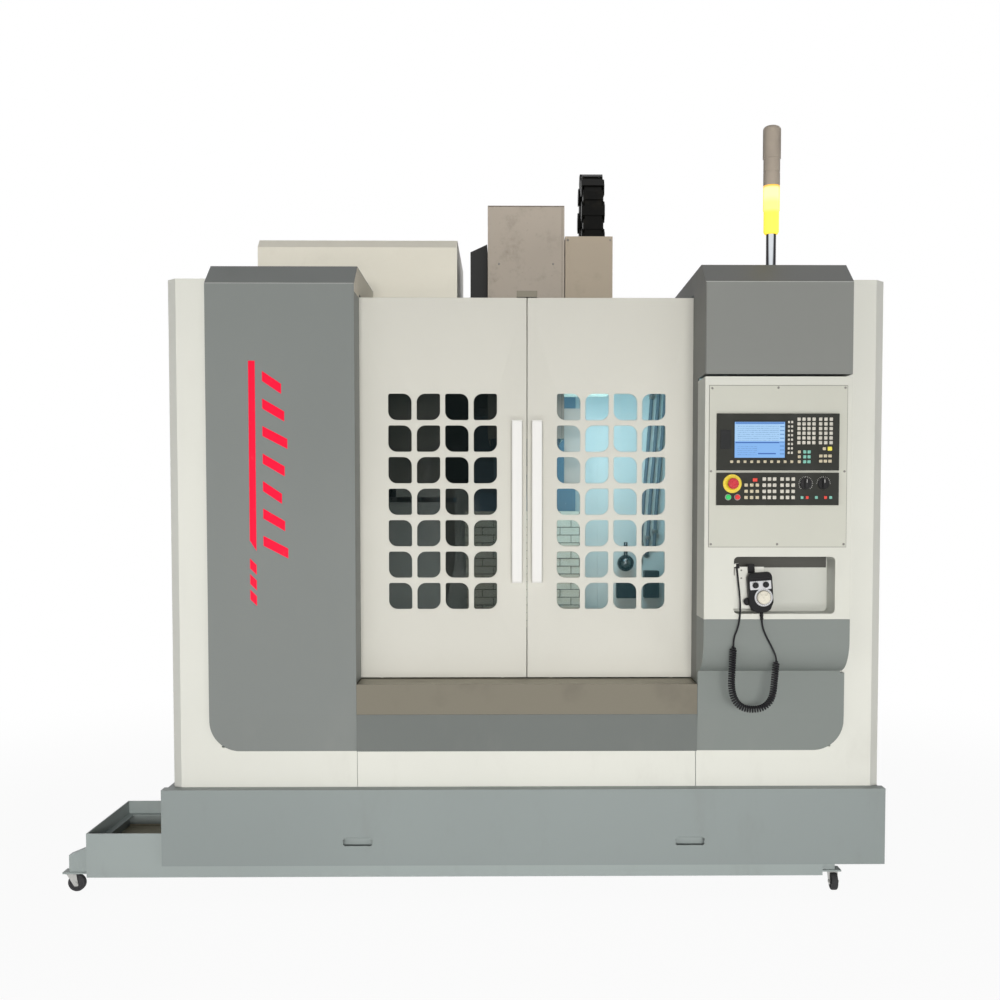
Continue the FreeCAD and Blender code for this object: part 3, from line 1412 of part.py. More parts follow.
for number, place in enumerate(caster_places, 1):
    save("caster_%d" % number, *caster(*place))
save("bed", bed())
save("levelling_feet", *[levelling_foot(x, y) for x, y in foot_places])
save("column", column())
save("axis_drives", *axis_drives())
save("saddle", *saddle())
save("table", table())
save("y_way_covers", *y_way_covers())
save("headstock", *headstock())
save("head_cover", head_cover())
save("junction_box", *junction_box())
save("spindle", spindle())
save("cable_chain", *cable_chain())
save("z_way_cover", *z_way_cover())
save("magazine_cover", magazine_cover())
save("magazine_guide", magazine_guide())
save("magazine_carriage", magazine_carriage())
save("magazine_disc", magazine_disc())
save("tower_light", tower_light())
save("electrical_cabinet", electrical_cabinet())
save("cabinet_door", cabinet_door())
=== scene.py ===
import math
import bmesh
import bpy
from mathutils import Matrix, Vector


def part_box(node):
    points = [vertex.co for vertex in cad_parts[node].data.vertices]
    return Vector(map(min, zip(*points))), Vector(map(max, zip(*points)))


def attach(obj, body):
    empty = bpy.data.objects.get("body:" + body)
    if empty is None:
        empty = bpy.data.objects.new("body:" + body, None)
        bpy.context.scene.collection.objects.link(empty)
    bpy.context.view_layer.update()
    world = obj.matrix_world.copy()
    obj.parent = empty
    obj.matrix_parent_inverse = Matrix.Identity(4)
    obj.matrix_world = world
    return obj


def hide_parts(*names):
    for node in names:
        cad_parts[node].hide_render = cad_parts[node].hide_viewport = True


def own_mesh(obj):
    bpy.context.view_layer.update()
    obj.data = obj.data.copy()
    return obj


# Vertical machining centre, dressed over its solids. Places and sizes are in metres, in the
# frame of the solids: X to the right, Y into the machine, Z up.
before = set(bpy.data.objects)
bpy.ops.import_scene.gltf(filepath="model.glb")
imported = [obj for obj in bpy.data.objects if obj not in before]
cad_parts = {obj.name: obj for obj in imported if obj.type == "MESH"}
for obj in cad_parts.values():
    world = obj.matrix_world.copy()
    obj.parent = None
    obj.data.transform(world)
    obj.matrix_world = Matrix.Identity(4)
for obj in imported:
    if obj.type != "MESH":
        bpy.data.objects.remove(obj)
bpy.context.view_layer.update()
mm = 0.001


# ---------------------------------------------------------------- camera
# It stands almost square in front of the machine at a person's chest height, as far off as the
# photograph's perspective gives, with a lens of medium length.
lens = bpy.data.cameras.new("camera")
lens.sensor_width = 36.0
lens.lens = 43.06
lens.shift_x = -0.0201
lens.shift_y = 0.0613
lens.clip_end = 200.0
camera = bpy.data.objects.new("camera", lens)
camera.location = (-0.0785, -4.92, 1.42)
camera.rotation_euler = (math.radians(90 - 2.60), 0, math.radians(-0.63))
bpy.context.scene.collection.objects.link(camera)
bpy.context.scene.camera = camera


# ---------------------------------------------------------------- floor, room and lamps
# A plain pale floor in a white room. The light comes mostly from the front, as in a hall with
# bright windows behind the camera, so upward and sideward faces are a little darker.
class Wire:
    """One output socket; arithmetic on it adds the Math nodes."""

    def __init__(self, board, socket):
        self.board = board
        self.socket = socket

    def worked(self, operation, *values):
        return self.board.node("ShaderNodeMath", {"operation": operation},
                               dict(enumerate(values)))

    def __add__(self, other):
        return self.worked("ADD", self, other)

    def __sub__(self, other):
        return self.worked("SUBTRACT", self, other)

    def __rsub__(self, other):
        return self.worked("SUBTRACT", other, self)

    def __mul__(self, other):
        return self.worked("MULTIPLY", self, other)

    def __truediv__(self, other):
        return self.worked("DIVIDE", self, other)

    def __rtruediv__(self, other):
        return self.worked("DIVIDE", other, self)

    def __gt__(self, other):
        return self.worked("GREATER_THAN", self, other)

    def __lt__(self, other):
        return self.worked("LESS_THAN", self, other)

    __radd__ = __add__
    __rmul__ = __mul__

    def highest(self, other):
        return self.worked("MAXIMUM", self, other)

    def lowest(self, other):
        return self.worked("MINIMUM", self, other)

    def beyond(self, step):
        """What is left of the value after whole steps."""
        return self.worked("MODULO", self, step)

    def ramp(self, low, high):
        """0 below low, 1 above high, smooth between them."""
        return self.board.node("ShaderNodeMapRange", {"interpolation_type": "SMOOTHSTEP"},
                               {"Value": self, "From Min": low, "From Max": high})

    def part(self, axis):
        """The x, y or z of a vector."""
        return self.board.node("ShaderNodeSeparateXYZ", {}, {0: self}, "XYZ".index(axis))


class Board:
    """A node tree, wired up by node()."""

    def __init__(self, tree):
        self.tree = tree
        tree.nodes.clear()

    def node(self, kind, settings=None, inputs=None, output=0):
        made = self.tree.nodes.new(kind)
        for name, value in (settings or {}).items():
            setattr(made, name, value)
        for key, value in (inputs or {}).items():
            self.feed(made.inputs[key], value)
        return Wire(self, made.outputs[output]) if made.outputs else made

    def feed(self, socket, value):
        if isinstance(value, Wire):
            self.tree.links.new(value.socket, socket)
        elif value is not None:
            if socket.type == "RGBA" and len(value) == 3:
                value = (*value, 1.0)
            socket.default_value = value

    def seen_directly(self):
        """1 for what the camera sees, also in metal and through glass."""
        paths = [self.node("ShaderNodeLightPath", output=name)
                 for name in ("Is Camera Ray", "Is Glossy Ray", "Is Transmission Ray")]
        return paths[0].highest(paths[1]).highest(paths[2])


room = bpy.context.scene.world or bpy.data.worlds.new("room")
bpy.context.scene.world = room
room.use_nodes = True
walls = Board(room.node_tree)
light = walls.node("ShaderNodeBackground", {}, {"Color": (0.95, 0.97, 1.0), "Strength": 0.11})
white = walls.node("ShaderNodeBackground", {}, {"Color": (1.0, 1.0, 1.0), "Strength": 1.0})
both = walls.node("ShaderNodeMixShader", {}, {0: walls.seen_directly(), 1: light, 2: white})
walls.node("ShaderNodeOutputWorld", {}, {"Surface": both})

floor_mesh = bpy.data.meshes.new("floor")
floor_mesh.from_pydata([(-30, -30, 0), (30, -30, 0), (30, 30, 0), (-30, 30, 0)], [],
                       [(0, 1, 2, 3)])
floor = bpy.data.objects.new("floor", floor_mesh)
bpy.context.scene.collection.objects.link(floor)
concrete = bpy.data.materials.new("pale_floor")
concrete.use_nodes = True
ground = Board(concrete.node_tree)
matt = ground.node("ShaderNodeBsdfDiffuse", {}, {"Color": (0.86, 0.86, 0.85)})
glow = ground.node("ShaderNodeEmission", {}, {"Color": (1.0, 1.0, 1.0), "Strength": 1.0})
place = ground.node("ShaderNodeTexCoord", output="Object")
reach = ground.node("ShaderNodeVectorMath", {"operation": "LENGTH"}, {0: place}, 1)
share = reach.ramp(2.0, 5.0) * 0.06 + 0.94
pale = ground.node("ShaderNodeMixShader", {}, {0: ground.seen_directly() * share, 1: matt,
                                               2: glow})
ground.node("ShaderNodeOutputMaterial", {}, {"Surface": pale})
floor_mesh.materials.append(concrete)


def lamp(name, place, aim, width, height, power, colour):
    data = bpy.data.lights.new(name, "AREA")
    data.shape = "RECTANGLE"
    data.size = width
    data.size_y = height
    data.energy = power
    data.color = colour
    made = bpy.data.objects.new(name, data)
    made.location = place
    made.rotation_euler = (Vector(aim) - Vector(place)).to_track_quat("-Z", "Y").to_euler()
    made.visible_camera = False
    made.visible_glossy = False
    bpy.context.scene.collection.objects.link(made)


lamp("window_light", (0.2, -11.0, 1.7), (0, 0, 1.5), 3.4, 1.2, 770, (1.0, 0.98, 0.95))
lamp("low_window_light", (-0.3, -2.7, 0.65), (0, 0, 0.8), 5.0, 0.5, 20, (1.0, 0.99, 0.98))
lamp("roof_light", (0.5, -1.0, 6.5), (0, 0.3, 1.0), 5.0, 5.0, 3, (1.0, 0.97, 0.92))
lamp("rear_light", (1.5, 7.0, 3.5), (0, 0, 1.2), 5.0, 3.0, 140, (0.97, 0.98, 1.0))
bpy.context.scene.view_settings.view_transform = "Standard"


# ---------------------------------------------------------------- pendant's cord
# Black sheathed control cable of 6.5 mm: a straight lead from the gland in the niche, a curled
# stretch that hangs in a loop, and a short lead up into the pendant's strain relief.
class Finish(Board):
    """A Principled material whose sockets take plain values or wires."""

    def __init__(self, name, **plain):
        self.material = bpy.data.materials.new(name)
        self.material.use_nodes = True
        super().__init__(self.material.node_tree)
        self.shader = self.tree.nodes.new("ShaderNodeBsdfPrincipled")
        self.node("ShaderNodeOutputMaterial", {}, {})
        self.tree.links.new(self.shader.outputs[0], self.tree.nodes[-1].inputs[0])
        self.point = self.node("ShaderNodeTexCoord", output="Object")
        self.set(**plain)

    def set(self, **values):
        for name, value in values.items():
            self.feed(self.shader.inputs[name.replace("_", " ")], value)

    def grain(self, scale, detail=3.0, stretch=(1, 1, 1), rough=0.55):
        """Noise of that many grains to the metre, stretched along the axes."""
        place = self.node("ShaderNodeMapping", {}, {"Vector": self.point, "Scale": stretch})
        return self.node("ShaderNodeTexNoise", {}, {"Vector": place, "Scale": scale,
                                                    "Detail": detail, "Roughness": rough})

    def blend(self, share, first, second):
        return self.node("ShaderNodeMix", {"data_type": "RGBA"}, {0: share, 6: first, 7: second},
                         2)

    def bumps(self, height, depth, strength=1.0, under=None):
        return self.node("ShaderNodeBump", {}, {"Height": height, "Distance": depth,
                                                "Strength": strength, "Normal": under})


def moulded(name, colour, gloss=0.45, grains=900):
    """Black or coloured plastic with a fine moulded grain and a little dust."""
    finish = Finish(name, Specular_IOR_Level=0.2)
    dust = finish.grain(9, 5).ramp(0.45, 0.8)
    dusty = tuple(c * 0.8 + 0.02 for c in colour)
    finish.set(Base_Color=finish.blend(dust, colour, dusty),
               Roughness=dust * 0.2 + gloss,
               Normal=finish.bumps(finish.grain(grains, 2), 0.00012, 0.5))
    return finish.material


def made(name, form, material, body, slot=None, smooth=35):
    """Puts a finished mesh into the scene as a piece that rides on a body."""
    mesh = form
    if isinstance(form, bmesh.types.BMesh):
        bmesh.ops.recalc_face_normals(form, faces=form.faces)
        mesh = bpy.data.meshes.new(name)
        form.to_mesh(mesh)
        form.free()
    mesh.materials.clear()
    mesh.materials.append(material)
    if smooth:
        mesh.shade_smooth()
        mesh.set_sharp_from_angle(angle=math.radians(smooth))
    piece = bpy.data.objects.new(name, mesh)
    bpy.context.scene.collection.objects.link(piece)
    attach(piece, body)
    return piece


cord_route = [(727.5, -741, 1206), (731, -747, 1163), (736, -755, 1109), (737, -763, 1052),
              (729.5, -766, 1001), (714.3, -767, 966.4), (712.5, -767, 930),
              (701.9, -767, 716), (848, -767, 708), (861.5, -767, 862),
              (864.2, -767, 892.8), (848, -766, 930), (829, -763, 966), (814.5, -761.5, 999.8),
              (812.8, -761.5, 1024.7)]
cord_across = 6.5 * mm
curl_across = 26 * mm
curl_pitch = 8.4 * mm
curl_start, curl_end = 936 * mm, 884 * mm      # heights between which the line is curled


def followed(points, order=3):
    """Close points along the smooth line through the route, as a curve without a bevel gives."""
    data = bpy.data.curves.new("route", "CURVE")
    data.dimensions = "3D"
    line = data.splines.new("NURBS")
    line.points.add(len(points) - 1)
    for at, place in zip(line.points, points):
        at.co = (*[v * mm for v in place], 1)
    line.order_u = order
    line.use_endpoint_u = True
    line.resolution_u = 24
    holder = bpy.data.objects.new("route", data)
    bpy.context.scene.collection.objects.link(holder)
    mesh = bpy.data.meshes.new_from_object(
        holder.evaluated_get(bpy.context.evaluated_depsgraph_get()))
    found = [v.co.copy() for v in mesh.vertices]
    bpy.data.objects.remove(holder)
    bpy.data.meshes.remove(mesh)
    return found


def swept(path, across, sides=10):
    """Round tube along the points, closed at both ends."""
    form = bmesh.new()
    heading = (path[1] - path[0]).normalized()
    side = heading.orthogonal().normalized()
    rings = []
    for i, place in enumerate(path):
        ahead = (path[min(i + 1, len(path) - 1)] - path[max(i - 1, 0)]).normalized()
        side = (side - ahead * side.dot(ahead)).normalized()
        up = ahead.cross(side)
        ring = []
        for k in range(sides):
            a = 2 * math.pi * k / sides
            ring.append(form.verts.new(place + (side * math.cos(a) + up * math.sin(a))
                                       * across / 2))
        rings.append(ring)
    for low, high in zip(rings, rings[1:]):
        for k in range(sides):
            form.faces.new((low[k - 1], low[k], high[k], high[k - 1]))
    form.faces.new(rings[0])
    form.faces.new(rings[-1])
    return form


def curled(line, start_z, end_z, radius, pitch, steps=14, run_in=12 * mm):
    """The line, wound into a helix between where it first falls below start_z and where it
    last rises above end_z. The helix widens and narrows over run_in at its ends."""
    low = next(i for i, p in enumerate(line) if p.z < start_z)
    high = max(i for i, p in enumerate(line) if p.z < end_z and i > low)
    path = list(line[:low])
    side = Vector((1, 0, 0))
    along = [0.0]
    for i in range(low, high):
        along.append(along[-1] + (line[i + 1] - line[i]).length)
    length = along[-1]
    count = round(length / pitch) * steps
    for k in range(count + 1):
        done = length * k / count
        i = max(j for j, s in enumerate(along) if s <= done + 1e-12)
        i = min(i, len(along) - 2)
        share = (done - along[i]) / max(along[i + 1] - along[i], 1e-9)
        a, b = line[low + i], line[low + i + 1]
        centre = a.lerp(b, share)
        ahead = (b - a).normalized()
        side = (side - ahead * side.dot(ahead)).normalized()
        up = ahead.cross(side)
        reach = min(1.0, done / run_in, (length - done) / run_in) * radius
        turn = 2 * math.pi * k / steps
        path.append(centre + (side * math.cos(turn) + up * math.sin(turn)) * reach)
    return path + list(line[high + 1:])


cord_line = curled(followed(cord_route), curl_start, curl_end,
                   (curl_across - cord_across) / 2, curl_pitch)
cord_length = sum((b - a).length for a, b in zip(cord_line, cord_line[1:]))
cord = made("pendant_cord", swept(cord_line, cord_across), moulded("cord_sheath",
            (0.012, 0.012, 0.014), 0.38, 1500), "machine", "cord_rubber", 60)
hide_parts("cord_upper", "cord_coil", "cord_lower")


# ---------------------------------------------------------------- casings and front band
# White side casings and the band under the doors: folded sheet steel, sprayed and baked. The
# paint has a faint orange peel, its tone drifts a little, and soil gathers towards the floor.
def powder_coat(name, colour, gloss=0.40, soil=0.30, soiled=(0.30, 0.28, 0.24), foot=0.35,
                painted_shade=None):
    coat = Finish(name)
    drift = coat.grain(0.7, 2).ramp(0.35, 0.65)
    smears = coat.grain(7, 6, (1, 1, 0.4), 0.62).ramp(0.50, 0.82)
    low = 1 - coat.point.part("Z").ramp(foot, foot + 0.45)
    tone = coat.blend(drift, tuple(c * 0.965 for c in colour),
                      tuple(min(1, c * 1.03) for c in colour))
    # where the given mask holds, the tone gives way to a darker one: painted shade
    if painted_shade:
        tone = coat.blend(painted_shade[0](coat.point), tone, painted_shade[1])
    coat.set(Base_Color=coat.blend(smears * (low * 0.75 + 0.25) * soil, tone, soiled),
             Roughness=drift * 0.05 + smears * 0.10 + gloss,
             Normal=coat.bumps(coat.grain(420, 2), 0.0002, 0.25))
    return coat.material


def dress(material, *names):
    """Gives solids that keep their own shape their finish."""
    for name in names:
        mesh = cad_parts[name].data
        mesh.materials.clear()
        mesh.materials.append(material)


white_coat = powder_coat("white_coat", (0.665, 0.672, 0.622), 0.38, 0.16)
dress(white_coat, "left_casing", "right_casing", "front_band")


# ---------------------------------------------------------------- grey pillar, hoods, covers
# The blue-grey covers round the doorway: bent sheet in a coarser, duller powder coat than the
# casings, each its own grey; the apron's is darker, painted shade under the sill. The slanted
# tops and the hood's inner side are painted darker too: painted shade. The pillar carries a red
# foil stripe with plain slanted marks.
hood_side = 0.6145      # the hood's inner side lies to the left of this
for name, colour, bend, fade, covers in (
        ("pillar_grey", (0.190, 0.206, 0.199), 2.2160, 0.80, ("left_pillar",)),
        ("hood_grey", (0.206, 0.214, 0.203), 2.2010, 0.58, ("right_hood",)),
        ("console_grey", (0.192, 0.213, 0.203), 0, 0, ("right_lower_cover", "console_skirt")),
        ("apron_grey", (0.134, 0.147, 0.140), 0, 0, ("apron",))):
    painted_shade = bend and ((lambda point, bend=bend: (point.part("Z") > bend).highest(
                         (point.part("X") < hood_side) * (point.part("X") > 0))),
                     tuple(c * fade for c in colour))
    dress(powder_coat(name, colour, 0.46, 0.22, (0.30, 0.30, 0.28), painted_shade=painted_shade), *covers)

foil = Finish("red_foil", Specular_IOR_Level=0.15)
scuffed = foil.grain(45, 6).ramp(0.58, 0.80)
foil.set(Base_Color=foil.blend(scuffed * 0.6, (0.93, 0.012, 0.050), (0.72, 0.050, 0.070)),
         Roughness=scuffed * 0.2 + 0.33)


def walled(form, near, far):
    """Adds the closed plate between two like outlines, and returns its faces."""
    near, far = [[form.verts.new(corner) for corner in outline] for outline in (near, far)]
    faces = [form.faces.new(near), form.faces.new(far[::-1])]
    for i in range(len(near)):
        faces.append(form.faces.new((near[i - 1], near[i], far[i], far[i - 1])))
    return faces


def flat_marks(outlines, y, thick):
    """Thin foil shapes on a face that looks to the front; outlines are lists of (x, z)."""
    form = bmesh.new()
    for outline in outlines:
        walled(form, *([(x * mm, at, z * mm) for x, z in outline] for at in (y - thick, y)))
    return form


# a pale strip along each bend stands for the bright line the bend shows in the light: painted
# highlight
bend_coat = powder_coat("bend_coat", (0.47, 0.48, 0.46), 0.40, 0.10)
for name, x0, x1, y, z in (("pillar", -1153.5, -623.5, -619.9, 2215.8),
                           ("hood", 611.5, 1124.5, -747.9, 2200.8)):
    line = [(x0, z - 1.6), (x1, z - 1.6), (x1, z), (x0, z)]
    made(name + "_bend_line", flat_marks([line], y * mm, 0.6 * mm), bend_coat, "machine",
         "grey_paint", 0)

# the pillar's inner side is lined with a bare pale sheet above the doorway
form = bmesh.new()
rim = [(-612, 2188), (-612, 2217), (-517, 2290), (-8, 2290), (-8, 2202), (-479, 2202),
       (-479, 2188)]
walled(form, *([(x * mm, y * mm, z * mm) for y, z in rim] for x in (-622.9, -621.9)))
made("pillar_lining", form, powder_coat("lining_coat", (0.71, 0.655, 0.555), 0.40, 0.10),
     "machine", "beige_paint", 0)

# the stripe: one long bar, three short marks under it and seven slanted ones beside it
left, right = -1001, -977
marks = [[(left, 1300), (right, 1262), (right, 1941), (left, 1941)]]
for i in range(3):
    z = 1236 - i * 56
    marks.append([(left, z), (right, z - 24), (right, z - 60), (left, z - 36)])
left, right = -952, -884
for i, longer in enumerate((0, 10.4, 20.8, 10.4, 0, 10.4, 20.8)):
    z = 1905 - i * 98
    marks.append([(left, z), (right + longer, z - 46), (right + longer, z - 82),
                  (left, z - 36)])
made("red_stripe", flat_marks(marks, -620.15 * mm, 0.3 * mm), foil.material, "machine", None, 0)


# ---------------------------------------------------------------- doors
# Two sheet steel door leaves: a face pierced by 28 windows with two large round corners each,
# folded to a box behind, running on two nylon rollers. The paint is creamier than the casings.
door_coat = powder_coat("door_coat", (0.615, 0.610, 0.556), 0.36, 0.12)


class Plan(Board):
    """A Geometry Nodes group with named sizes; run() turns it into a plain mesh."""

    def __init__(self, name, **sizes):
        super().__init__(bpy.data.node_groups.new(name, "GeometryNodeTree"))
        self.sizes = sizes
        self.tree.interface.new_socket(name="Base", in_out="INPUT",
                                       socket_type="NodeSocketGeometry")
        kinds = {float: "NodeSocketFloat", int: "NodeSocketInt", tuple: "NodeSocketVector",
                 bpy.types.Object: "NodeSocketObject", bpy.types.Material: "NodeSocketMaterial"}
        for label, value in sizes.items():
            self.tree.interface.new_socket(name=label, in_out="INPUT",
                                           socket_type=kinds[type(value)])
        self.tree.interface.new_socket(name="Geometry", in_out="OUTPUT",
                                       socket_type="NodeSocketGeometry")
        self.entry = self.tree.nodes.new("NodeGroupInput")

    def given(self, name):
        return Wire(self, self.entry.outputs[name])

    def moved(self, geometry, place, turn=(0, 0, 0)):
        return self.node("GeometryNodeTransform", {}, {"Geometry": geometry,
                                                       "Translation": place,
                                                       "Rotation": turn})

    def vector(self, x=0.0, y=0.0, z=0.0):
        return self.node("ShaderNodeCombineXYZ", {}, {0: x, 1: y, 2: z})

    def joined(self, *parts):
        gathered = self.node("GeometryNodeJoinGeometry")
        for part in parts:
            self.tree.links.new(part.socket, gathered.socket.node.inputs[0])
        return gathered

    def run(self, geometry, material, base=None):
        solid = self.node("GeometryNodeRealizeInstances", {}, {"Geometry": geometry})
        dressed = self.node("GeometryNodeSetMaterial", {}, {"Geometry": solid,
                                                            "Material": material})
        self.node("NodeGroupOutput", {}, {0: dressed})
        holder = bpy.data.objects.new("plan", base or bpy.data.meshes.new("plan"))
        bpy.context.scene.collection.objects.link(holder)
        step = holder.modifiers.new("plan", "NODES")
        step.node_group = self.tree
        for item in self.tree.interface.items_tree:
            if item.in_out == "INPUT" and item.name in self.sizes:
                step[item.identifier] = self.sizes[item.name]
        mesh = bpy.data.meshes.new_from_object(
            holder.evaluated_get(bpy.context.evaluated_depsgraph_get()))
        bpy.data.objects.remove(holder)
        return mesh


leaf_w, leaf_h, leaf_z = 632, 1409, 1487.5      # a leaf's width, height and middle
leaf_y = -461                                   # the back of its face sheet
fold_y, fold_z = (-461.2, -425), (783.1, 2191.9)    # what its folded edges reach to
pane_w, pane_h, pane_pitch_x, pane_pitch_z = 86, 97, 105.5, 117
pane_start, pane_top = 110, 1839                # from the leaf's near edge; top of row one


def pierced_face(side, near, far):
    """The leaf's face with its windows, each a rectangle with two large round corners."""
    plan = Plan("pierced_face", Width=leaf_w * mm, Height=leaf_h * mm, Pane_Width=pane_w * mm,
                Pane_Height=pane_h * mm, Pitch_X=pane_pitch_x * mm, Pitch_Z=pane_pitch_z * mm,
                Large_Corner=31 * mm, Small_Corner=7 * mm, Sheet=4 * mm)
    odd = plan.node("GeometryNodeInputIndex").beyond(2.0)
    rim = plan.node("GeometryNodeCurvePrimitiveQuadrilateral", {"mode": "RECTANGLE"},
                    {"Width": plan.given("Width"), "Height": plan.given("Height")})
    middle = (near + far) / 2 * mm
    pieces = [plan.moved(rim, (middle, leaf_z * mm, 0))]
    pane = plan.node("GeometryNodeCurvePrimitiveQuadrilateral", {"mode": "RECTANGLE"},
                     {"Width": plan.given("Pane_Width"), "Height": plan.given("Pane_Height")})
    for turned_over in (0, 1):
        share = odd if turned_over else 1 - odd
        radius = (share * (plan.given("Large_Corner") - plan.given("Small_Corner"))
                  + plan.given("Small_Corner"))
        window = plan.node("GeometryNodeFilletCurve", {"mode": "POLY"},
                           {"Curve": pane, "Count": 7, "Radius": radius})
        spots = plan.node("GeometryNodeMeshGrid", {},
                          {"Size X": plan.given("Pitch_X") * 2,
                           "Size Y": plan.given("Pitch_Z") * 6,
                           "Vertices X": 2, "Vertices Y": 7})
        columns = (1, 3) if turned_over == (side > 0) else (0, 2)
        x = near + side * (pane_start + pane_w / 2 + pane_pitch_x * sum(columns) / 2)
        z = pane_top - pane_h / 2 - pane_pitch_z * 3
        spots = plan.moved(spots, (x * mm, z * mm, 0))
        pieces.append(plan.node("GeometryNodeInstanceOnPoints", {},
                                {"Points": spots, "Instance": window}))
    lines = plan.node("GeometryNodeRealizeInstances", {}, {"Geometry": plan.joined(*pieces)})
    face = plan.node("GeometryNodeFillCurve", {"mode": "TRIANGLES"}, {"Curve": lines})
    raised = plan.node("GeometryNodeExtrudeMesh", {"mode": "FACES"},
                       {"Mesh": face, "Offset": plan.vector(z=1.0),
                        "Offset Scale": plan.given("Sheet"), "Individual": False})
    back = plan.node("GeometryNodeFlipFaces", {}, {"Mesh": face})
    sheet = plan.node("GeometryNodeMergeByDistance", {},
                      {"Geometry": plan.joined(raised, back), "Distance": 0.00002})
    upright = plan.moved(sheet, (0, leaf_y * mm, 0), (math.pi / 2, 0, 0))
    return plan.run(upright, door_coat)


def block(form, x0, x1, y0, y1, z0, z1, edge=1.0, steps=2):
    """Adds a cuboid with rounded edges, its sides given in millimetres."""
    size = Vector((x1 - x0, y1 - y0, z1 - z0)) * mm
    place = Matrix.Translation(Vector((x0 + x1, y0 + y1, z0 + z1)) * mm / 2)
    cube = bmesh.ops.create_cube(form, size=1.0, matrix=place @ Matrix.Diagonal((*size, 1)))
    if edge:
        edges = list({e for v in cube["verts"] for e in v.link_edges})
        bmesh.ops.bevel(form, geom=edges, offset=edge * mm, segments=steps, profile=0.5,
                        affect="EDGES")


def spun(form, profile, base, axis=(0, 0, 1), steps=32):
    """Adds a turned shape: profile is a list of (radius, height) in millimetres from base."""
    turn = Vector((0, 0, 1)).rotation_difference(Vector(axis)).to_matrix().to_4x4()
    place = Matrix.Translation(Vector(base) * mm) @ turn
    rings = []
    for r, h in profile:
        if r <= 0:
            rings.append([form.verts.new(place @ Vector((0, 0, h * mm)))])
            continue
        angles = [2 * math.pi * k / steps for k in range(steps)]
        rings.append([form.verts.new(place @ (Vector((r * math.cos(a), r * math.sin(a), h)) * mm))
                      for a in angles])
    for low, high in zip(rings, rings[1:]):
        for k in range(steps):
            corners = [low[k - 1] if len(low) > 1 else low[0], low[k] if len(low) > 1 else None,
                       high[k] if len(high) > 1 else high[0],
                       high[k - 1] if len(high) > 1 else None]
            form.faces.new([c for c in corners if c is not None])


nylon = moulded("roller_nylon", (0.55, 0.53, 0.48), 0.5)
aluminium = Finish("anodised_bar", Metallic=0.85)
drawn = aluminium.grain(60, 4, (40, 40, 0.5))
aluminium.set(Base_Color=aluminium.blend(drawn, (0.84, 0.83, 0.80), (0.93, 0.92, 0.89)),
              Roughness=drawn * 0.16 + 0.24,
              Normal=aluminium.bumps(drawn, 0.00008, 0.4))
for side, word in ((-1, "left"), (1, "right")):
    near = -4 + side * 1.5
    far = near + side * leaf_w
    x0, x1 = min(near, far), max(near, far)
    form = bmesh.new()
    form.from_mesh(pierced_face(side, near, far))
    bmesh.ops.remove_doubles(form, verts=form.verts, dist=0.00002)
    rim = [e for e in form.edges if len(e.link_faces) == 2 and e.calc_face_angle(0) > 1.0
           and max(v.co.y for v in e.verts) < (leaf_y - 3.9) * mm]
    bmesh.ops.bevel(form, geom=rim, offset=1.6 * mm, segments=3, profile=0.5, affect="EDGES",
                    clamp_overlap=True)
    for a, b in ((x0 + 0.1, x0 + 4), (x1 - 4, x1 - 0.1)):
        block(form, a, b, *fold_y, *fold_z, 0.6, 1)
    for a, b in ((fold_z[0], 787), (2188, fold_z[1])):
        block(form, x0 + 4, x1 - 4, *fold_y, a, b, 0.6, 1)
    for x in (x0 + 90, x1 - 90):
        block(form, x - 12, x + 12, -461.5, -448.5, 786.5, 831, 1)
    leaf = made(word + "_door_leaf", form, door_coat, word + "_door", "door_paint", 30)
    rollers = bmesh.new()
    for x in (x0 + 90, x1 - 90):
        spun(rollers, [(0, 0), (17, 0), (20, 2), (20, 5.5), (18.4, 8), (20, 10.5), (20, 14),
                       (17, 16), (7, 16), (7, 17.5), (0, 17.5)], (x, -449, 799.3), (0, 1, 0))
    wheel = made(word + "_door_rollers", rollers, nylon, word + "_door", "door_paint", 40)
    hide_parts(word + "_door")

    # pull handle: an extruded bar with a shallow groove, capped, on two turned standoffs
    bar = bmesh.new()
    h0 = -4 + side * 17
    a, b = min(h0, h0 + side * 40), max(h0, h0 + side * 40)
    block(bar, a, b, -509.9, -492, 1141, 1737, 5, 4)
    block(bar, a + 13, b - 13, -510, -508, 1146, 1732, 0.6, 1)
    for z in (1209, 1669):
        spun(bar, [(0, 0), (14, 0), (13, 2), (13, 24.5), (15.5, 25.5), (15.5, 27), (0, 27)],
             ((a + b) / 2, -492.2, z), (0, 1, 0), 28)
    for z0, z1 in ((1139, 1142), (1736, 1739)):
        block(bar, a + 0.4, b - 0.4, -509.6, -492.2, z0, z1, 1.2, 2)
    handle = made(word + "_pull", bar, aluminium.material, word + "_door", "stainless", 40)
    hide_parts(word + "_handle")


# ---------------------------------------------------------------- panes
# Hardened safety glass behind the doors' faces: the left one is made dark grey-green and less
# clear, painted shade for the dark side of the chamber behind it; the right one clear with a cold
# blue cast.
def glazing(name, colour, cover):
    glass = Finish(name, IOR=1.5, Specular_IOR_Level=0.06)
    smudge = glass.grain(14, 5, (1, 1, 0.5)).ramp(0.50, 0.80)
    glass.set(Base_Color=glass.blend(smudge * 0.5, colour, tuple(c * 0.7 + 0.08 for c in colour)),
              Roughness=smudge * 0.18 + 0.05, Alpha=smudge * 0.05 + cover)
    return glass.material


dress(glazing("tinted_pane", (0.003, 0.006, 0.006), 0.58), "left_window")
dress(glazing("clear_pane", (0.06, 0.14, 0.16), 0.12), "right_window")


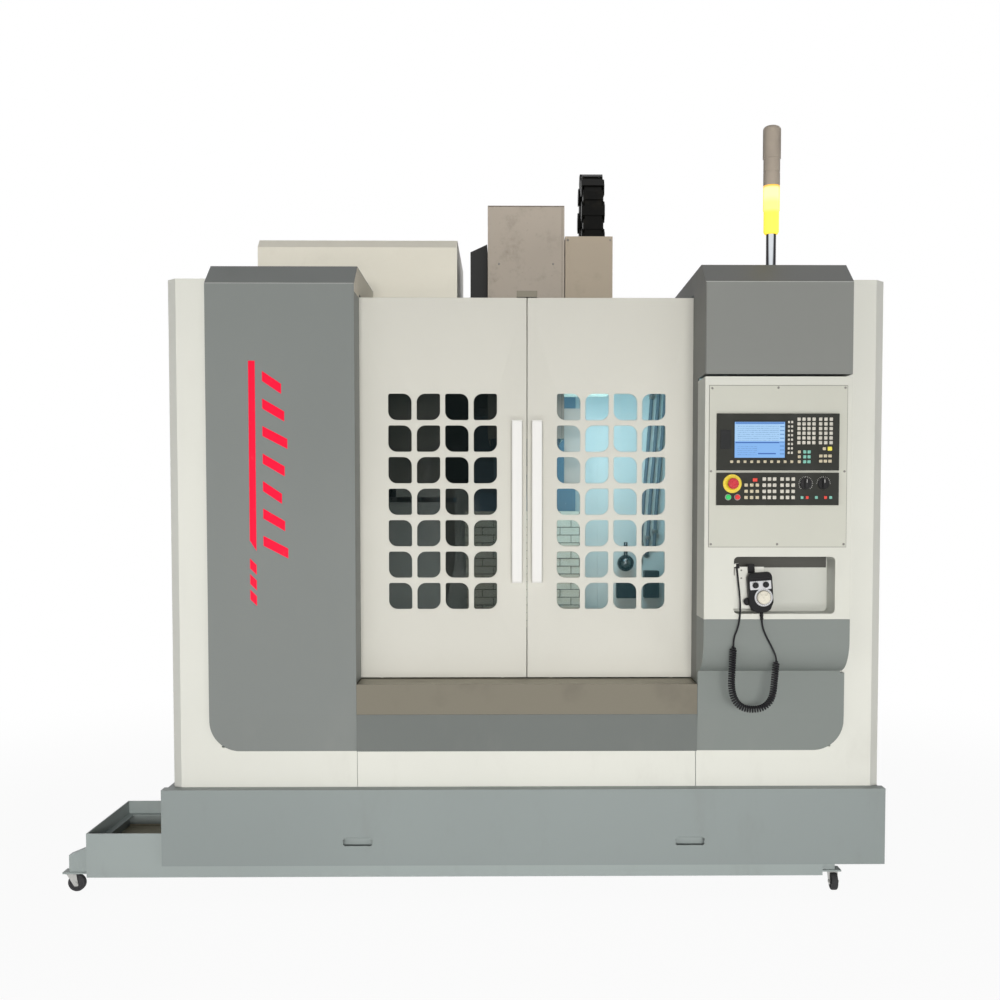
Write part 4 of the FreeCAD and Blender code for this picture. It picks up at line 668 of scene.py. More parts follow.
# ---------------------------------------------------------------- sill and door track
# The ledge under the doors is brushed stainless sheet, dulled by hands and coolant; the upper
# track is the same sheet, hidden behind the doors except for its latch bracket.
def brushed(name, colour, gloss, stretch, stain=(0.20, 0.18, 0.15), stained=0.4):
    steel = Finish(name, Metallic=1.0)
    lines = steel.grain(70, 5, stretch, 0.7)
    stains = steel.grain(6, 6).ramp(0.48, 0.80) * stained
    steel.set(Base_Color=steel.blend(stains, steel.blend(lines, tuple(c * 0.82 for c in colour),
                                                         colour), stain),
              Roughness=lines * 0.22 + stains * 0.2 + gloss,
              Normal=steel.bumps(lines, 0.0001, 0.45))
    return steel.material


stainless = brushed("brushed_sill", (0.310, 0.285, 0.226), 0.34, (0.4, 20, 20))
dress(stainless, "sill", "door_track")
way_steel = brushed("way_cover_steel", (0.42, 0.41, 0.38), 0.34, (20, 0.5, 20))
dress(way_steel, "y_way_covers")


# ---------------------------------------------------------------- base tray and coolant tank
# A deep folded pan in light blue-grey, and the long open tank that rolls out to the left,
# with a paper filter over its raised bed. Both carry splash marks low down.
tray_coat = powder_coat("tray_coat", (0.245, 0.278, 0.275), 0.42, 0.30, (0.16, 0.16, 0.14), 0.10)
dress(tray_coat, "base_tray")
# the tank wears a lighter copy of the pan's paint: painted light, for its low, brighter-lit place
dress(powder_coat("tank_coat", (0.307, 0.348, 0.344), 0.42, 0.25, (0.16, 0.16, 0.14), 0.05),
      "tank")

paper = Finish("filter_paper")
fibres = paper.grain(240, 4)
wet = paper.grain(5, 4).ramp(0.45, 0.65)
dry = paper.blend(fibres, (0.44, 0.40, 0.30), (0.58, 0.54, 0.43))
paper.set(Base_Color=paper.blend(wet, dry, (0.33, 0.29, 0.20)),
          Roughness=0.95 - wet * 0.4, Normal=paper.bumps(fibres, 0.0006, 0.8))
form = bmesh.new()
block(form, -1606, -917, -595.5, -114.5, 131.1, 132.6, 0.5, 1)
for y in (-590, -121):
    block(form, -1602, -920, y, y + 2, 132.4, 140, 0.4, 1)
made("filter_bed", form, paper.material, "tank", "tray_paint")

form = bmesh.new()
for x0 in (-674, 530):
    for a, b, c, d in ((x0 + 12, x0 + 98, 222.4, 226), (x0 + 12, x0 + 98, 192, 195.6),
                       (x0 + 0.5, x0 + 4, 203, 215), (x0 + 106, x0 + 109.5, 203, 215)):
        block(form, a, b, -641.2, -636, c, d, 0.6, 1)
made("slot_lips", form, tray_coat, "machine", "tray_paint")


# ---------------------------------------------------------------- casters
# Pressed zinc-plated forks with grey rubber wheels on plain axle bolts, one at each corner of
# the tank; the left pair trails outwards, the right pair sideways.
zinc = Finish("zinc_plate", Metallic=0.9)
bloom = zinc.grain(60, 5)
zinc.set(Base_Color=zinc.blend(bloom, (0.42, 0.42, 0.40), (0.66, 0.66, 0.64)),
         Roughness=bloom * 0.3 + 0.28, Normal=zinc.bumps(zinc.grain(500, 2), 0.0001, 0.3))
tread = moulded("wheel_rubber", (0.045, 0.045, 0.048), 0.62, 300)
cheek = [(-17, 68), (19, 68), (27, 24), (24, 21), (12, 21), (9, 25)]
trail, axle_z = 18, 32          # the axle's distance from the swivel's axis, and its height
spots = [(-1688, -530, 0), (-1688, -180, 0), (1133, -530, -90), (1133, -180, -90)]
for number, (x, y, turn) in enumerate(spots, 1):
    place = (Matrix.Translation(Vector((x, y, 0)) * mm)
             @ Matrix.Rotation(math.radians(turn), 4, "Z"))
    fork = bmesh.new()
    spun(fork, [(0, 69.7), (19, 69.7), (19, 66), (13, 64), (13, 60), (0, 60)], (0, 0, 0))
    for s in (-1, 1):
        walled(fork, *([Vector((a, at, b)) * mm for a, b in cheek] for at in (s * 14, s * 16)))
        spun(fork, [(0, 0), (6, 0), (6, 3), (4.5, 4), (0, 4)], (trail, s * 16, axle_z),
             (0, s, 0), 6)
    block(fork, -20, 20, -16, 16, 64.7, 68, 1)
    fork.transform(place)
    piece = made("caster_fork_%d" % number, fork, zinc.material, "caster_%d" % number, "steel")
    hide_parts("caster_%d" % number)
    wheel = bmesh.new()
    spun(wheel, [(0, -13), (7, -13), (8, -10), (22, -8), (24, -11), (29.5, -11), (32, -8),
                 (32, 8), (29.5, 11), (24, 11), (22, 8), (8, 10), (7, 13), (0, 13)],
         (trail, 0, axle_z), (0, 1, 0), 36)
    wheel.transform(place)
    made("caster_wheel_%d" % number, wheel, tread, "caster_%d" % number, "steel", 50)


# ---------------------------------------------------------------- console
# The operator's console: a white box with a warmer, screwed-on front plate, the niche for the
# pendant, and the control unit and key panel let into the plate.
dress(white_coat, "pendant_hanger")
# the housing's faces that lie back from its front, the niche's inside among them, are painted
# darker: painted shade
dress(powder_coat("console_coat", (0.61, 0.617, 0.565), 0.38, 0.14,
                  painted_shade=(lambda point: point.part("Y") > -0.735, (0.53, 0.54, 0.50))),
      "console_housing")
plate_coat = powder_coat("plate_coat", (0.535, 0.540, 0.480), 0.42, 0.08)
dress(plate_coat, "console_plate")


def pattern(name, form):
    """An object for Geometry Nodes to repeat; it isn't a piece itself."""
    mesh = bpy.data.meshes.new(name)
    form.to_mesh(mesh)
    form.free()
    return bpy.data.objects.new(name, mesh)


def screw_head():
    """A pan head with a round recess, 1 mm in radius, standing on the XY plane."""
    form = bmesh.new()
    spun(form, [(1.0, -0.2), (1.0, 0.30), (0.84, 0.56), (0.50, 0.66)], (0, 0, 0), steps=12)
    spun(form, [(0.50, 0.66), (0.47, 0.30), (0, 0.26)], (0, 0, 0), steps=12)
    bmesh.ops.remove_doubles(form, verts=form.verts, dist=0.000001)
    bmesh.ops.recalc_face_normals(form, faces=form.faces)
    return pattern("screw_head", form)


def fastened(name, spots, toward, radius, material, body, slot):
    """Screws at the spots, all facing one way, set by Geometry Nodes."""
    plan = Plan("screws", Head=head, Radius=float(radius))
    screw = plan.node("GeometryNodeObjectInfo", {}, {"Object": plan.given("Head")}, "Geometry")
    turn = Vector((0, 0, 1)).rotation_difference(Vector(toward)).to_euler()
    placed = plan.node("GeometryNodeInstanceOnPoints", {},
                       {"Points": plan.given("Base"), "Instance": screw,
                        "Rotation": tuple(turn),
                        "Scale": plan.vector(plan.given("Radius"), plan.given("Radius"),
                                             plan.given("Radius"))})
    mesh = bpy.data.meshes.new(name)
    mesh.from_pydata([Vector(s) * mm for s in spots], [], [])
    return made(name, plan.run(placed, material, mesh), material, body, slot)


head = screw_head()
bolt_steel = Finish("bolt_steel", Metallic=0.9)
speck = bolt_steel.grain(900, 3)
bolt_steel.set(Base_Color=bolt_steel.blend(speck, (0.22, 0.21, 0.20), (0.38, 0.37, 0.35)),
               Roughness=speck * 0.2 + 0.30, Normal=bolt_steel.bumps(speck, 0.00005, 0.4))
fastened("plate_screws", [(x, -753, z) for x, z in
         ((635, 1832), (865, 1834), (1098, 1834), (632, 1544), (1098, 1544), (633, 1290),
          (865, 1290), (1098, 1290))], (0, -1, 0), 4.2, bolt_steel.material, "machine", "steel")
fastened("hanger_screws", [(745, -731, 1198), (745, -731, 1170)], (0, -1, 0), 3.2,
         bolt_steel.material, "machine", "steel")

# the plate's joint line: a thin grey strip all round it, painted shade in the joint
form = bmesh.new()
for a, b, c, d in ((624.2, 625.9, 1279.2, 1842.8), (1106.1, 1107.8, 1279.2, 1842.8),
                   (625.9, 1106.1, 1279.2, 1280.9), (625.9, 1106.1, 1841.1, 1842.8)):
    block(form, a, b, -750.9, -750, c, d, 0)
made("plate_gasket", form, moulded("gasket_grey", (0.20, 0.20, 0.18), 0.7, 300), "machine",
     "plate_paint", 0)

# a dark strip under the niche's top stands for the shadow its top edge casts: painted shadow
form = bmesh.new()
block(form, 719, 1067, -642.5, -640.3, 1203, 1242, 1, 2)
made("niche_strip", form, moulded("dark_foam", (0.085, 0.085, 0.078), 0.8, 300), "machine",
     "black_plastic")


# ---------------------------------------------------------------- control unit
# The control's moulded charcoal front with its bright display behind glass, rows of rubber
# keys, a card cover at the left and soft keys beside and under the display.
front_plastic = moulded("control_front", (0.031, 0.032, 0.028), 0.50, 1300)
dress(front_plastic, "nc_unit", "operator_panel")

display = Finish("display", Roughness=0.10, Specular_IOR_Level=0.2)
x = display.point.part("X")
z = display.point.part("Z")


def field(x0, x1, z0, z1):
    """1 inside that rectangle of the display, 0 outside it."""
    return ((x > x0 * mm) * (x < x1 * mm)) * ((z > z0 * mm) * (z < z1 * mm))


rows = (z * 1000).beyond(7.0) > 4.4
words = display.grain(1, 1, (900, 1, 143)).ramp(0.46, 0.52)
text = rows * words * (field(722, 866, 1650, 1706) + field(722, 790, 1600, 1634))
bars = (field(715, 868, 1641.5, 1646) + field(716, 884, 1709, 1713) + field(794, 856, 1603, 1607.5))
keys = field(870, 885, 1596, 1704) * ((z * 1000).beyond(13.5) > 9.5)
shown = display.blend(field(712, 887, 1648, 1707), (0.26, 0.52, 0.96), (0.44, 0.70, 1.0))
shown = display.blend((text * 0.55).lowest(1.0), shown, (0.10, 0.20, 0.45))
shown = display.blend(bars.lowest(1.0), shown, (0.05, 0.16, 0.52))
shown = display.blend(keys.lowest(1.0) * 0.8, shown, (0.12, 0.28, 0.62))
display.set(Base_Color=(0.02, 0.03, 0.05), Emission_Color=shown, Emission_Strength=0.85)
form = bmesh.new()
block(form, 712, 887, -760.8, -760.1, 1591, 1715, 0.3, 1)
made("display_glass", form, display.material, "machine", "dark_panel")
form = bmesh.new()
for a, b, c, d in ((708, 711.5, 1587, 1719), (887.5, 891, 1587, 1719), (711.5, 887.5, 1715.5, 1719),
                   (711.5, 887.5, 1587, 1590.5)):
    block(form, a, b, -766.4, -761, c, d, 0.8, 2)
block(form, 662, 699, -767.5, -764.5, 1621, 1687, 1.6, 3)
block(form, 676, 686, -768.3, -767, 1624, 1627, 0.3, 1)
made("display_frame", form, moulded("dark_frame", (0.022, 0.023, 0.024), 0.34, 1500), "machine",
     "dark_panel")


def keycap(width, height, depth):
    """One key with rounded edges, its face to the front."""
    form = bmesh.new()
    block(form, -width / 2, width / 2, -depth, 0, -height / 2, height / 2,
          min(width, height) * 0.14, 2)
    return pattern("keycap", form)


def key_field(name, columns, rows, x0, x1, z0, z1, face, material, width, height, depth=2.2):
    """A grid of like keys: x0..x1 and z0..z1 are the middles of its outer keys."""
    plan = Plan("keys", Cap=keycap(width, height, depth), Columns=columns, Rows=rows,
                Reach_X=(x1 - x0) * mm, Reach_Z=(z1 - z0) * mm)
    cap = plan.node("GeometryNodeObjectInfo", {}, {"Object": plan.given("Cap")}, "Geometry")
    grid = plan.node("GeometryNodeMeshGrid", {},
                     {"Size X": plan.given("Reach_X"), "Size Y": plan.given("Reach_Z"),
                      "Vertices X": plan.given("Columns"), "Vertices Y": plan.given("Rows")})
    upright = plan.moved(grid, ((x0 + x1) / 2 * mm, face * mm, (z0 + z1) / 2 * mm),
                         (math.pi / 2, 0, 0))
    placed = plan.node("GeometryNodeInstanceOnPoints", {}, {"Points": upright, "Instance": cap})
    return made(name, plan.run(placed, material), material, "machine", "dark_panel", 40)


def key_rubber(name, colour):
    rubber = Finish(name)
    mark = rubber.grain(260, 2).ramp(0.56, 0.60)
    rubber.set(Base_Color=rubber.blend(mark * 0.35, colour, tuple(c * 0.25 for c in colour)),
               Roughness=mark * 0.1 + 0.5, Normal=rubber.bumps(rubber.grain(900, 2), 0.0001, 0.3))
    return rubber.material


pale_key = key_rubber("pale_keys", (0.60, 0.58, 0.52))
cream_key = key_rubber("cream_keys", (0.58, 0.52, 0.38))
green_key = key_rubber("green_keys", (0.22, 0.52, 0.43))
yellow_key = key_rubber("yellow_key", (0.82, 0.74, 0.12))
red_key = key_rubber("red_keys", (0.75, 0.08, 0.06))
pad = -767.0
key_field("letter_keys", 4, 6, 934, 986, 1643, 1724, pad, pale_key, 11.5, 11.5)
key_field("figure_keys", 3, 6, 1009, 1046, 1643, 1724, pad, pale_key, 11.5, 11.5)
key_field("edit_key", 1, 1, 1023, 1023, 1622, 1622, pad, cream_key, 11, 10)
key_field("input_key", 1, 1, 1042, 1042, 1622, 1622, pad, yellow_key, 15, 14)
key_field("cursor_keys_left", 1, 3, 936, 936, 1577, 1611, pad, cream_key, 10, 10)
key_field("cursor_keys", 2, 3, 955, 970, 1577, 1611, pad, green_key, 11, 11)
key_field("page_keys", 3, 2, 1011, 1043, 1579, 1597, pad, cream_key, 12, 10)
key_field("side_soft_keys", 2, 8, 899, 910, 1608, 1714, pad, pale_key, 7, 8)
key_field("soft_keys", 10, 1, 701, 910, 1577, 1577, pad, cream_key, 10, 9)


# ---------------------------------------------------------------- operator's panel
# Below it the machine's own keys, the mushroom stop button in its yellow collar, start and
# stop buttons with clear lenses, and two override switches with printed scales.
key_field("mode_keys_1", 3, 3, 752, 791, 1453, 1496, pad, cream_key, 12, 11)
key_field("mode_keys_2", 3, 4, 815, 851, 1453, 1517, pad, pale_key, 12.5, 12)
key_field("mode_keys_3", 3, 4, 877, 916, 1453, 1517, pad, pale_key, 12.5, 12)
key_field("warning_key", 1, 1, 783, 783, 1514, 1514, pad, red_key, 16, 12)
key_field("green_row_keys", 3, 1, 947, 1047, 1453, 1453, pad, green_key, 10, 10)
key_field("red_row_keys", 2, 1, 965, 1029, 1453, 1453, pad, red_key, 10, 10)


def glossy(name, colour, glow=0.0):
    lens_cap = Finish(name, Coat_Weight=0.5, Coat_Roughness=0.08)
    cloud = lens_cap.grain(120, 3)
    lens_cap.set(Base_Color=lens_cap.blend(cloud, tuple(c * 0.86 for c in colour), colour),
                 Roughness=cloud * 0.12 + 0.22, Normal=lens_cap.bumps(cloud, 0.00005, 0.3))
    if glow:
        lens_cap.set(Emission_Color=(*colour, 1), Emission_Strength=glow)
    return lens_cap.material


stop_x, knob_z = 704, 1501      # the stop button; the knobs stand at its height
button_y, button_z = -765, 1454
form = bmesh.new()
spun(form, [(6, 0), (32.4, 0), (32.4, 4.2), (30.5, 5.4), (22, 5.6), (20, 4.8), (6, 4.8), (6, 0)],
     (stop_x, -764.4, knob_z), (0, -1, 0), 48)
made("stop_collar", form, glossy("yellow_collar", (0.80, 0.62, 0.05)), "machine", "dark_panel")
form = bmesh.new()
spun(form, [(0, -21), (5, -21), (5, 15), (11, 15.5), (12, 18), (17, 19.4), (19, 21.5), (19, 25),
            (17.6, 27.6), (13, 29.6), (7, 30.6), (5, 30), (0, 29.6)], (stop_x, -764.7, knob_z),
     (0, -1, 0), 48)
stop = made("stop_mushroom", form, glossy("stop_red", (0.55, 0.018, 0.03)), "e_stop",
            "red_plastic", 50)
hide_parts("e_stop")

for name, x, colour, slot in (("start", 690, (0.02, 0.50, 0.11), "green_plastic"),
                              ("stop", 722, (0.58, 0.02, 0.02), "red_plastic")):
    form = bmesh.new()
    spun(form, [(5.6, 0), (10.8, 0), (10.8, 2.5), (9.6, 3.2), (9.4, 0.4), (5.6, 0.4), (5.6, 0)],
         (x, button_y, button_z), (0, -1, 0), 36)
    made(name + "_bezel", form, zinc.material, "machine", "dark_panel", 40)
    form = bmesh.new()
    spun(form, [(0, -20), (5, -20), (5, 4.4), (8.4, 4.6), (8.9, 5.4), (8.7, 9.0), (7.6, 9.8),
                (0, 10.0)], (x, button_y, button_z), (0, -1, 0), 36)
    cap = made(name + "_cap", form, glossy(name + "_lens", colour, 0.25), name + "_button", slot,
               45)
    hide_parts(name + "_button")

knob_black = moulded("knob_black", (0.016, 0.016, 0.017), 0.36, 1200)
print_white = key_rubber("scale_print", (0.72, 0.72, 0.70))


def around(name, form, count, low, high, centre, turn, material, body, slot=None, smooth=0):
    """Copies of a small form set round a circle in the XZ plane, or XY where turn is "Z"."""
    bmesh.ops.recalc_face_normals(form, faces=form.faces)
    plan = Plan("around", Form=pattern(name, form), Count=count,
                Low=math.radians(low), High=math.radians(high))
    part = plan.node("GeometryNodeObjectInfo", {}, {"Object": plan.given("Form")}, "Geometry")
    spots = plan.node("GeometryNodeMeshLine", {}, {"Count": plan.given("Count"),
                                                   "Offset": (0, 0, 0)})
    share = plan.node("GeometryNodeInputIndex") / (plan.given("Count") - 1)
    angle = plan.given("Low") + share * (plan.given("High") - plan.given("Low"))
    placed = plan.node("GeometryNodeInstanceOnPoints", {},
                       {"Points": spots, "Instance": part,
                        "Rotation": plan.vector(**{turn.lower(): angle})})
    moved = plan.moved(placed, tuple(v * mm for v in centre))
    return made(name, plan.run(moved, material), material, body, slot, smooth)


for name, x, reach in (("feed", 960, 135), ("spindle", 1022, 90)):
    form = bmesh.new()
    spun(form, [(0, -20), (5, -20), (5, 0.3), (19.8, 0.5), (20, 2), (19.2, 8), (17, 8.6),
                (0, 8.8)], (x, button_y, knob_z), (0, -1, 0), 44)
    block(form, x - 5.5, x + 5.5, -785, -773, knob_z - 16.5, knob_z + 16.5, 2.6, 3)
    knob = made(name + "_override", form, knob_black, name + "_knob", "black_plastic", 40)
    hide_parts(name + "_knob")
    form = bmesh.new()
    block(form, x - 0.8, x + 0.8, -785.2, -784.6, knob_z + 3, knob_z + 15, 0.2, 1)
    made(name + "_pointer", form, print_white, name + "_knob", "black_plastic")
    dash = bmesh.new()
    block(dash, -0.45, 0.45, -765.4, -765.05, 22, 25.5, 0)
    around(name + "_scale", dash, 2 * reach // 15 + 1, -reach, reach, (x, 0, knob_z), "Y",
           print_white, "machine")


# ---------------------------------------------------------------- pendant
# The handwheel pendant: a black moulded case that hangs on a steel hook plate, with a silver
# front band for its two selectors, and below it a white handwheel in a silver scale ring.
tilted = (Matrix.Translation(Vector((806, 0, 1122)) * mm)
          @ Matrix.Rotation(math.radians(-4), 4, "Y"))


def slab(form, outline, y0, y1, rim=0.0, steps=3):
    """Adds a plate: outline is a list of (x, z), y0 its front and y1 its back."""
    faces = walled(form, *([Vector((x, y, z)) * mm for x, z in outline] for y in (y0, y1)))
    if rim:
        bmesh.ops.recalc_face_normals(form, faces=faces)
        edges = list({e for f in faces for e in f.edges})
        bmesh.ops.bevel(form, geom=edges, offset=rim * mm, segments=steps, profile=0.5,
                        affect="EDGES")


pendant_black = moulded("pendant_black", (0.012, 0.012, 0.013), 0.40, 1100)
form = bmesh.new()
slab(form, [(-35, 70), (35, 70), (43, 56), (43, -36), (31, -62), (17, -70), (-17, -70),
            (-31, -62), (-43, -36), (-43, 56)], -775.3, -742, 5.0)
slab(form, [(-31, 66), (31, 66), (39, 54), (39, -34), (28, -58), (-28, -58), (-39, -34),
            (-39, 54)], -742.5, -731.7, 2.0, 2)
slab(form, [(-33, 68), (33, 68), (35, 50), (-35, 50)], -777.0, -774, 1.5, 2)
for dz, r in ((-69, 7.4), (-75, 6.4), (-81, 6.9), (-87, 5.8), (-93, 6.0)):
    spun(form, [(0, 0), (r, 0), (r, -3.6), (r - 1.6, -4.2), (r - 1.6, -6.4), (0, -6.4)],
         (0, -761.5, dz + 2.4), steps=20)
slab(form, [(-34, 67), (-10, 67), (-10, 100), (-34, 100)], -740.8, -733.2, 1.0, 2)
form.transform(tilted)
case = made("pendant_case", form, pendant_black, "machine", "black_plastic", 35)
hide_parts("pendant_body")

dial_x, dial_z = 815.17, 1105.6   # the handwheel's axis
silver = Finish("silver_band", Metallic=0.8)
sheen = silver.grain(30, 4, (0.3, 1, 12))
silver.set(Base_Color=silver.blend(sheen, (0.60, 0.60, 0.61), (0.74, 0.74, 0.75)),
           Roughness=sheen * 0.12 + 0.30, Normal=silver.bumps(sheen, 0.00005, 0.4))
form = bmesh.new()
slab(form, [(-36, 41), (36, 41), (37, 38), (37, 14), (36, 11), (-36, 11), (-37, 14), (-37, 38)],
     -776.2, -775, 0.4, 1)
form.transform(tilted)
spun(form, [(24.6, 0), (31.5, 0), (31.5, 1.4), (30.6, 2), (25.4, 2), (24.6, 1.4), (24.6, 0)],
     (dial_x, -775.2, dial_z), (0, -1, 0), 48)
made("pendant_band", form, silver.material, "machine", None, 35)

wheel_white = key_rubber("wheel_white", (0.66, 0.63, 0.54))
form = bmesh.new()
spun(form, [(0, -16), (5, -16), (5, 0.3), (22.8, 0.4), (23.4, 1.2), (23.4, 8), (21.5, 10.4),
            (17, 11), (0, 11)], (dial_x, -776, dial_z), (0, -1, 0), 48)
spun(form, [(0, 0), (5.2, 0), (5.2, 2), (4, 3), (0, 3.2)], (824, -786.8, 1114), (0, -1, 0), 20)
wheel = made("pendant_wheel", form, wheel_white, "pendant_dial", "white_plastic", 40)
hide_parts("pendant_dial")
rib = bmesh.new()
block(rib, -0.6, 0.6, -784.5, -777.5, 23.0, 24.0, 0.25, 1)
around("pendant_wheel_ribs", rib, 48, 0, 352.5, (dial_x, 0, dial_z), "Y", wheel_white,
       "pendant_dial", "white_plastic")
tick = bmesh.new()
block(tick, -0.5, 0.5, -777.35, -776.9, 25.6, 29.6, 0)
around("pendant_scale", tick, 25, 0, 345.6, (dial_x, 0, dial_z), "Y", pendant_black, "machine")
selectors = (("axis", 786.2, 1147.7, 5, 60), ("step", 822.1, 1150.2, 3, 35))
for name, x, z, marks, reach in selectors:
    form = bmesh.new()
    spun(form, [(0, -16), (4, -16), (4, 0.6), (10.9, 0.8), (11, 2), (10.3, 7), (9, 8), (0, 8.2)],
         (x, -776, z), (0, -1, 0), 32)
    block(form, x - 2.4, x + 2.4, -787.9, -782, z - 9.5, z + 9.5, 1.2, 2)
    knob = made("pendant_%s_selector" % name, form, knob_black, "pendant_%s_knob" % name,
                "black_plastic", 40)
    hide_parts("pendant_%s_knob" % name)
for name, x, z, marks, reach in selectors:
    tick = bmesh.new()
    block(tick, -0.5, 0.5, -776.7, -776.1, 12.2, 14.4, 0)
    around(name + "_scale", tick, marks, -reach, reach, (x, 0, z), "Y", pendant_black,
           "machine")

# the enabling button on the case's right side, and the gland where the cord leaves the niche
low, high = (Vector(v) * 1000 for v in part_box("pendant_button"))
middle = (low + high) / 2
form = bmesh.new()
spun(form, [(0, -7), (9, -7), (12.6, -4), (13.6, 1), (12.6, 7), (9, 11), (0, 12)],
     (high.x - 13, middle.y, middle.z + 5), (0, -1, 0), 28)
spun(form, [(0, 0), (3.4, 0), (3.4, 11), (2.4, 12), (0, 12)], (high.x + 3, middle.y, 1070),
     (0, 0, -1), 16)
button = made("pendant_enable", form, knob_black, "pendant_button", "black_plastic", 45)
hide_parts("pendant_button")
form = bmesh.new()
spun(form, [(0, 0), (9.5, 0), (9.5, 7), (7.6, 8), (7.6, 15), (6, 17), (0, 17)],
     (727.5, -741, 1205.2), steps=6)
made("cord_gland", form, pendant_black, "machine", "black_plastic", 20)


# ---------------------------------------------------------------- magazine cover
# The tall hood behind the left side that covers the tool magazine: bent sheet in a warm beige,
# slanted over its front edge, soiled where it is out of reach.
def soiled_coat(name, colour, dirt, amount, gloss=0.42):
    """Paint with oily smears and specks that nobody wipes off."""
    coat = Finish(name)
    swirl = coat.grain(9, 8, (1, 1, 1), 0.68).ramp(0.50, 0.70)
    flecks = coat.grain(60, 4).ramp(0.60, 0.72)
    wide = coat.grain(1.6, 3).ramp(0.35, 0.70)
    clean = coat.blend(wide, tuple(c * 0.96 for c in colour), tuple(c * 1.03 for c in colour))
    marked = (swirl * (wide * 0.6 + 0.4) * amount + flecks * amount * 0.35).lowest(1.0)
    coat.set(Base_Color=coat.blend(marked, clean, dirt), Roughness=marked * 0.2 + gloss,
             Normal=coat.bumps(coat.grain(420, 2), 0.0002, 0.25))
    return coat.material


magazine_coat = soiled_coat("magazine_coat", (0.88, 0.85, 0.74), (0.42, 0.37, 0.28), 0.08)
dress(magazine_coat, "magazine_cover")
fastened("magazine_cover_screws", [(x, -0.2, 1560) for x in range(-1060, -280, 150)], (0, -1, 0),
         4.5, bolt_steel.material, "machine", "steel")


# ---------------------------------------------------------------- head cover
# Folded sheet cover over the spindle motor, in a beige much darker and greyer than the magazine
# cover's. It has a screwed-on panel at its front and a lapped seam near its right edge.
head_coat = soiled_coat("head_coat", (0.442, 0.390, 0.331), (0.16, 0.135, 0.105), 0.45)
dress(head_coat, "head_cover")
fastened("panel_screws", [(x, -3.2, z) for x in (-110, 110) for z in (2000, 2120, 2260, 2408)],
         (0, -1, 0), 4.6, bolt_steel.material, "head", "steel")
form = bmesh.new()
block(form, 145.5, 147, -0.9, 0.3, 1702, 2641, 0.2, 1)
block(form, -154, 154, -1.4, 0.3, 2638.5, 2642, 0.5, 1)
made("head_seams", form, soiled_coat("seam_coat", (0.17, 0.145, 0.12), (0.08, 0.07, 0.06), 0.4),
     "head", "beige_paint")


# ---------------------------------------------------------------- terminal box and side guard
# The beige sheet box for the head's cables stands to the right of the head cover; at its left
# is a narrow guard in dark grey paint. Both move with the head.
coat = Finish("box_and_guard")
swirl = coat.grain(7, 7, (1, 1, 1), 0.66).ramp(0.50, 0.74) * 0.30
right = coat.point.part("X") > -0.158
coat.set(Base_Color=coat.blend(right, coat.blend(swirl, (0.010, 0.010, 0.009),
                                                 (0.026, 0.025, 0.023)),
                               coat.blend(swirl, (0.451, 0.386, 0.304), (0.22, 0.18, 0.135))),
         Roughness=swirl * 0.3 + 0.42, Normal=coat.bumps(coat.grain(420, 2), 0.0002, 0.25))
dress(coat.material, "junction_box")
fastened("box_screws", [(x, 29.8, z) for x in (171, 345) for z in (1915, 2215, 2512)],
         (0, -1, 0), 4.2, bolt_steel.material, "head", "steel")


# ---------------------------------------------------------------- energy chain
# Black glass-filled nylon chain that leads the head's cables over in an arch: links of two
# cheeks and two bars, pinned where they overlap. It keeps its solid, and inner lids close the
# gaps between the links.
chain_nylon = Finish("chain_nylon", Specular_IOR_Level=0.12)
rubbed = chain_nylon.grain(28, 5).ramp(0.50, 0.78)
chain_nylon.set(Base_Color=chain_nylon.blend(rubbed, (0.0035, 0.0035, 0.003),
                                             (0.012, 0.011, 0.009)),
                Roughness=rubbed * 0.2 + 0.42,
                Normal=chain_nylon.bumps(chain_nylon.grain(700, 3), 0.0002, 0.5))
dress(chain_nylon.material, "cable_chain")
link_pitch, front_run, arc_run = 57.68, 163.7, 439.8    # lengths along the chain
chain_x, arc_y, arc_z, arc_r = 287, 360, 2691, 140      # its middle, and its arch
form = bmesh.new()
for i in range(1, 18):
    s = i * link_pitch
    if s < front_run:
        y, z, turn = arc_y - arc_r, arc_z - front_run + s, 90
    elif s < front_run + arc_run:
        a = math.pi - (s - front_run) / arc_r
        y, z = arc_y + arc_r * math.cos(a), arc_z + arc_r * math.sin(a)
        turn = math.degrees(a) - 90
    else:
        y, z, turn = arc_y + arc_r, arc_z + front_run + arc_run - s, -90
    for depth, half in ((22.7, 17), (-21.5, 14)):
        bmesh.ops.create_cube(form, size=1.0,
                              matrix=Matrix.Translation(Vector((chain_x, y, z)) * mm)
                              @ Matrix.Rotation(math.radians(turn), 4, "X")
                              @ Matrix.Translation(Vector((0, 0, depth)) * mm)
                              @ Matrix.Diagonal((73 * mm, 2 * half * mm, 3.2 * mm, 1)))
made("chain_inner_lids", form, chain_nylon.material, "head", "black_plastic", 0)


# ---------------------------------------------------------------- tower light
# Signal light on a chromed tube: two lit amber modules under two switched-off ones in grey
# plastic, and a rounded cap. The modules twist together, which leaves a groove at each joint.
chrome = Finish("chrome_tube", Metallic=1.0)
haze = chrome.grain(30, 4)
# the colour darkens towards the tube's edges, as a dark room would show in it: painted reflection
side = chrome.node("ShaderNodeLayerWeight", {}, {"Blend": 0.5}, "Facing").ramp(0.08, 0.24)
bright = chrome.blend(haze, (0.66, 0.70, 0.74), (0.80, 0.83, 0.86))
chrome.set(Base_Color=chrome.blend(side, bright, (0.030, 0.030, 0.033)),
           Roughness=haze * 0.12 + 0.10, Normal=chrome.bumps(haze, 0.00004, 0.3))
tower = (885, -520)     # its axis
form = bmesh.new()
spun(form, [(0, 0), (34, 0), (34, 4), (31, 7), (22, 9), (19, 14), (18, 16), (18, 135), (0, 135)],
     (*tower, 2277.2), steps=40)
stand = made("tower_tube", form, chrome.material, "machine", "stainless", 40)
form = bmesh.new()
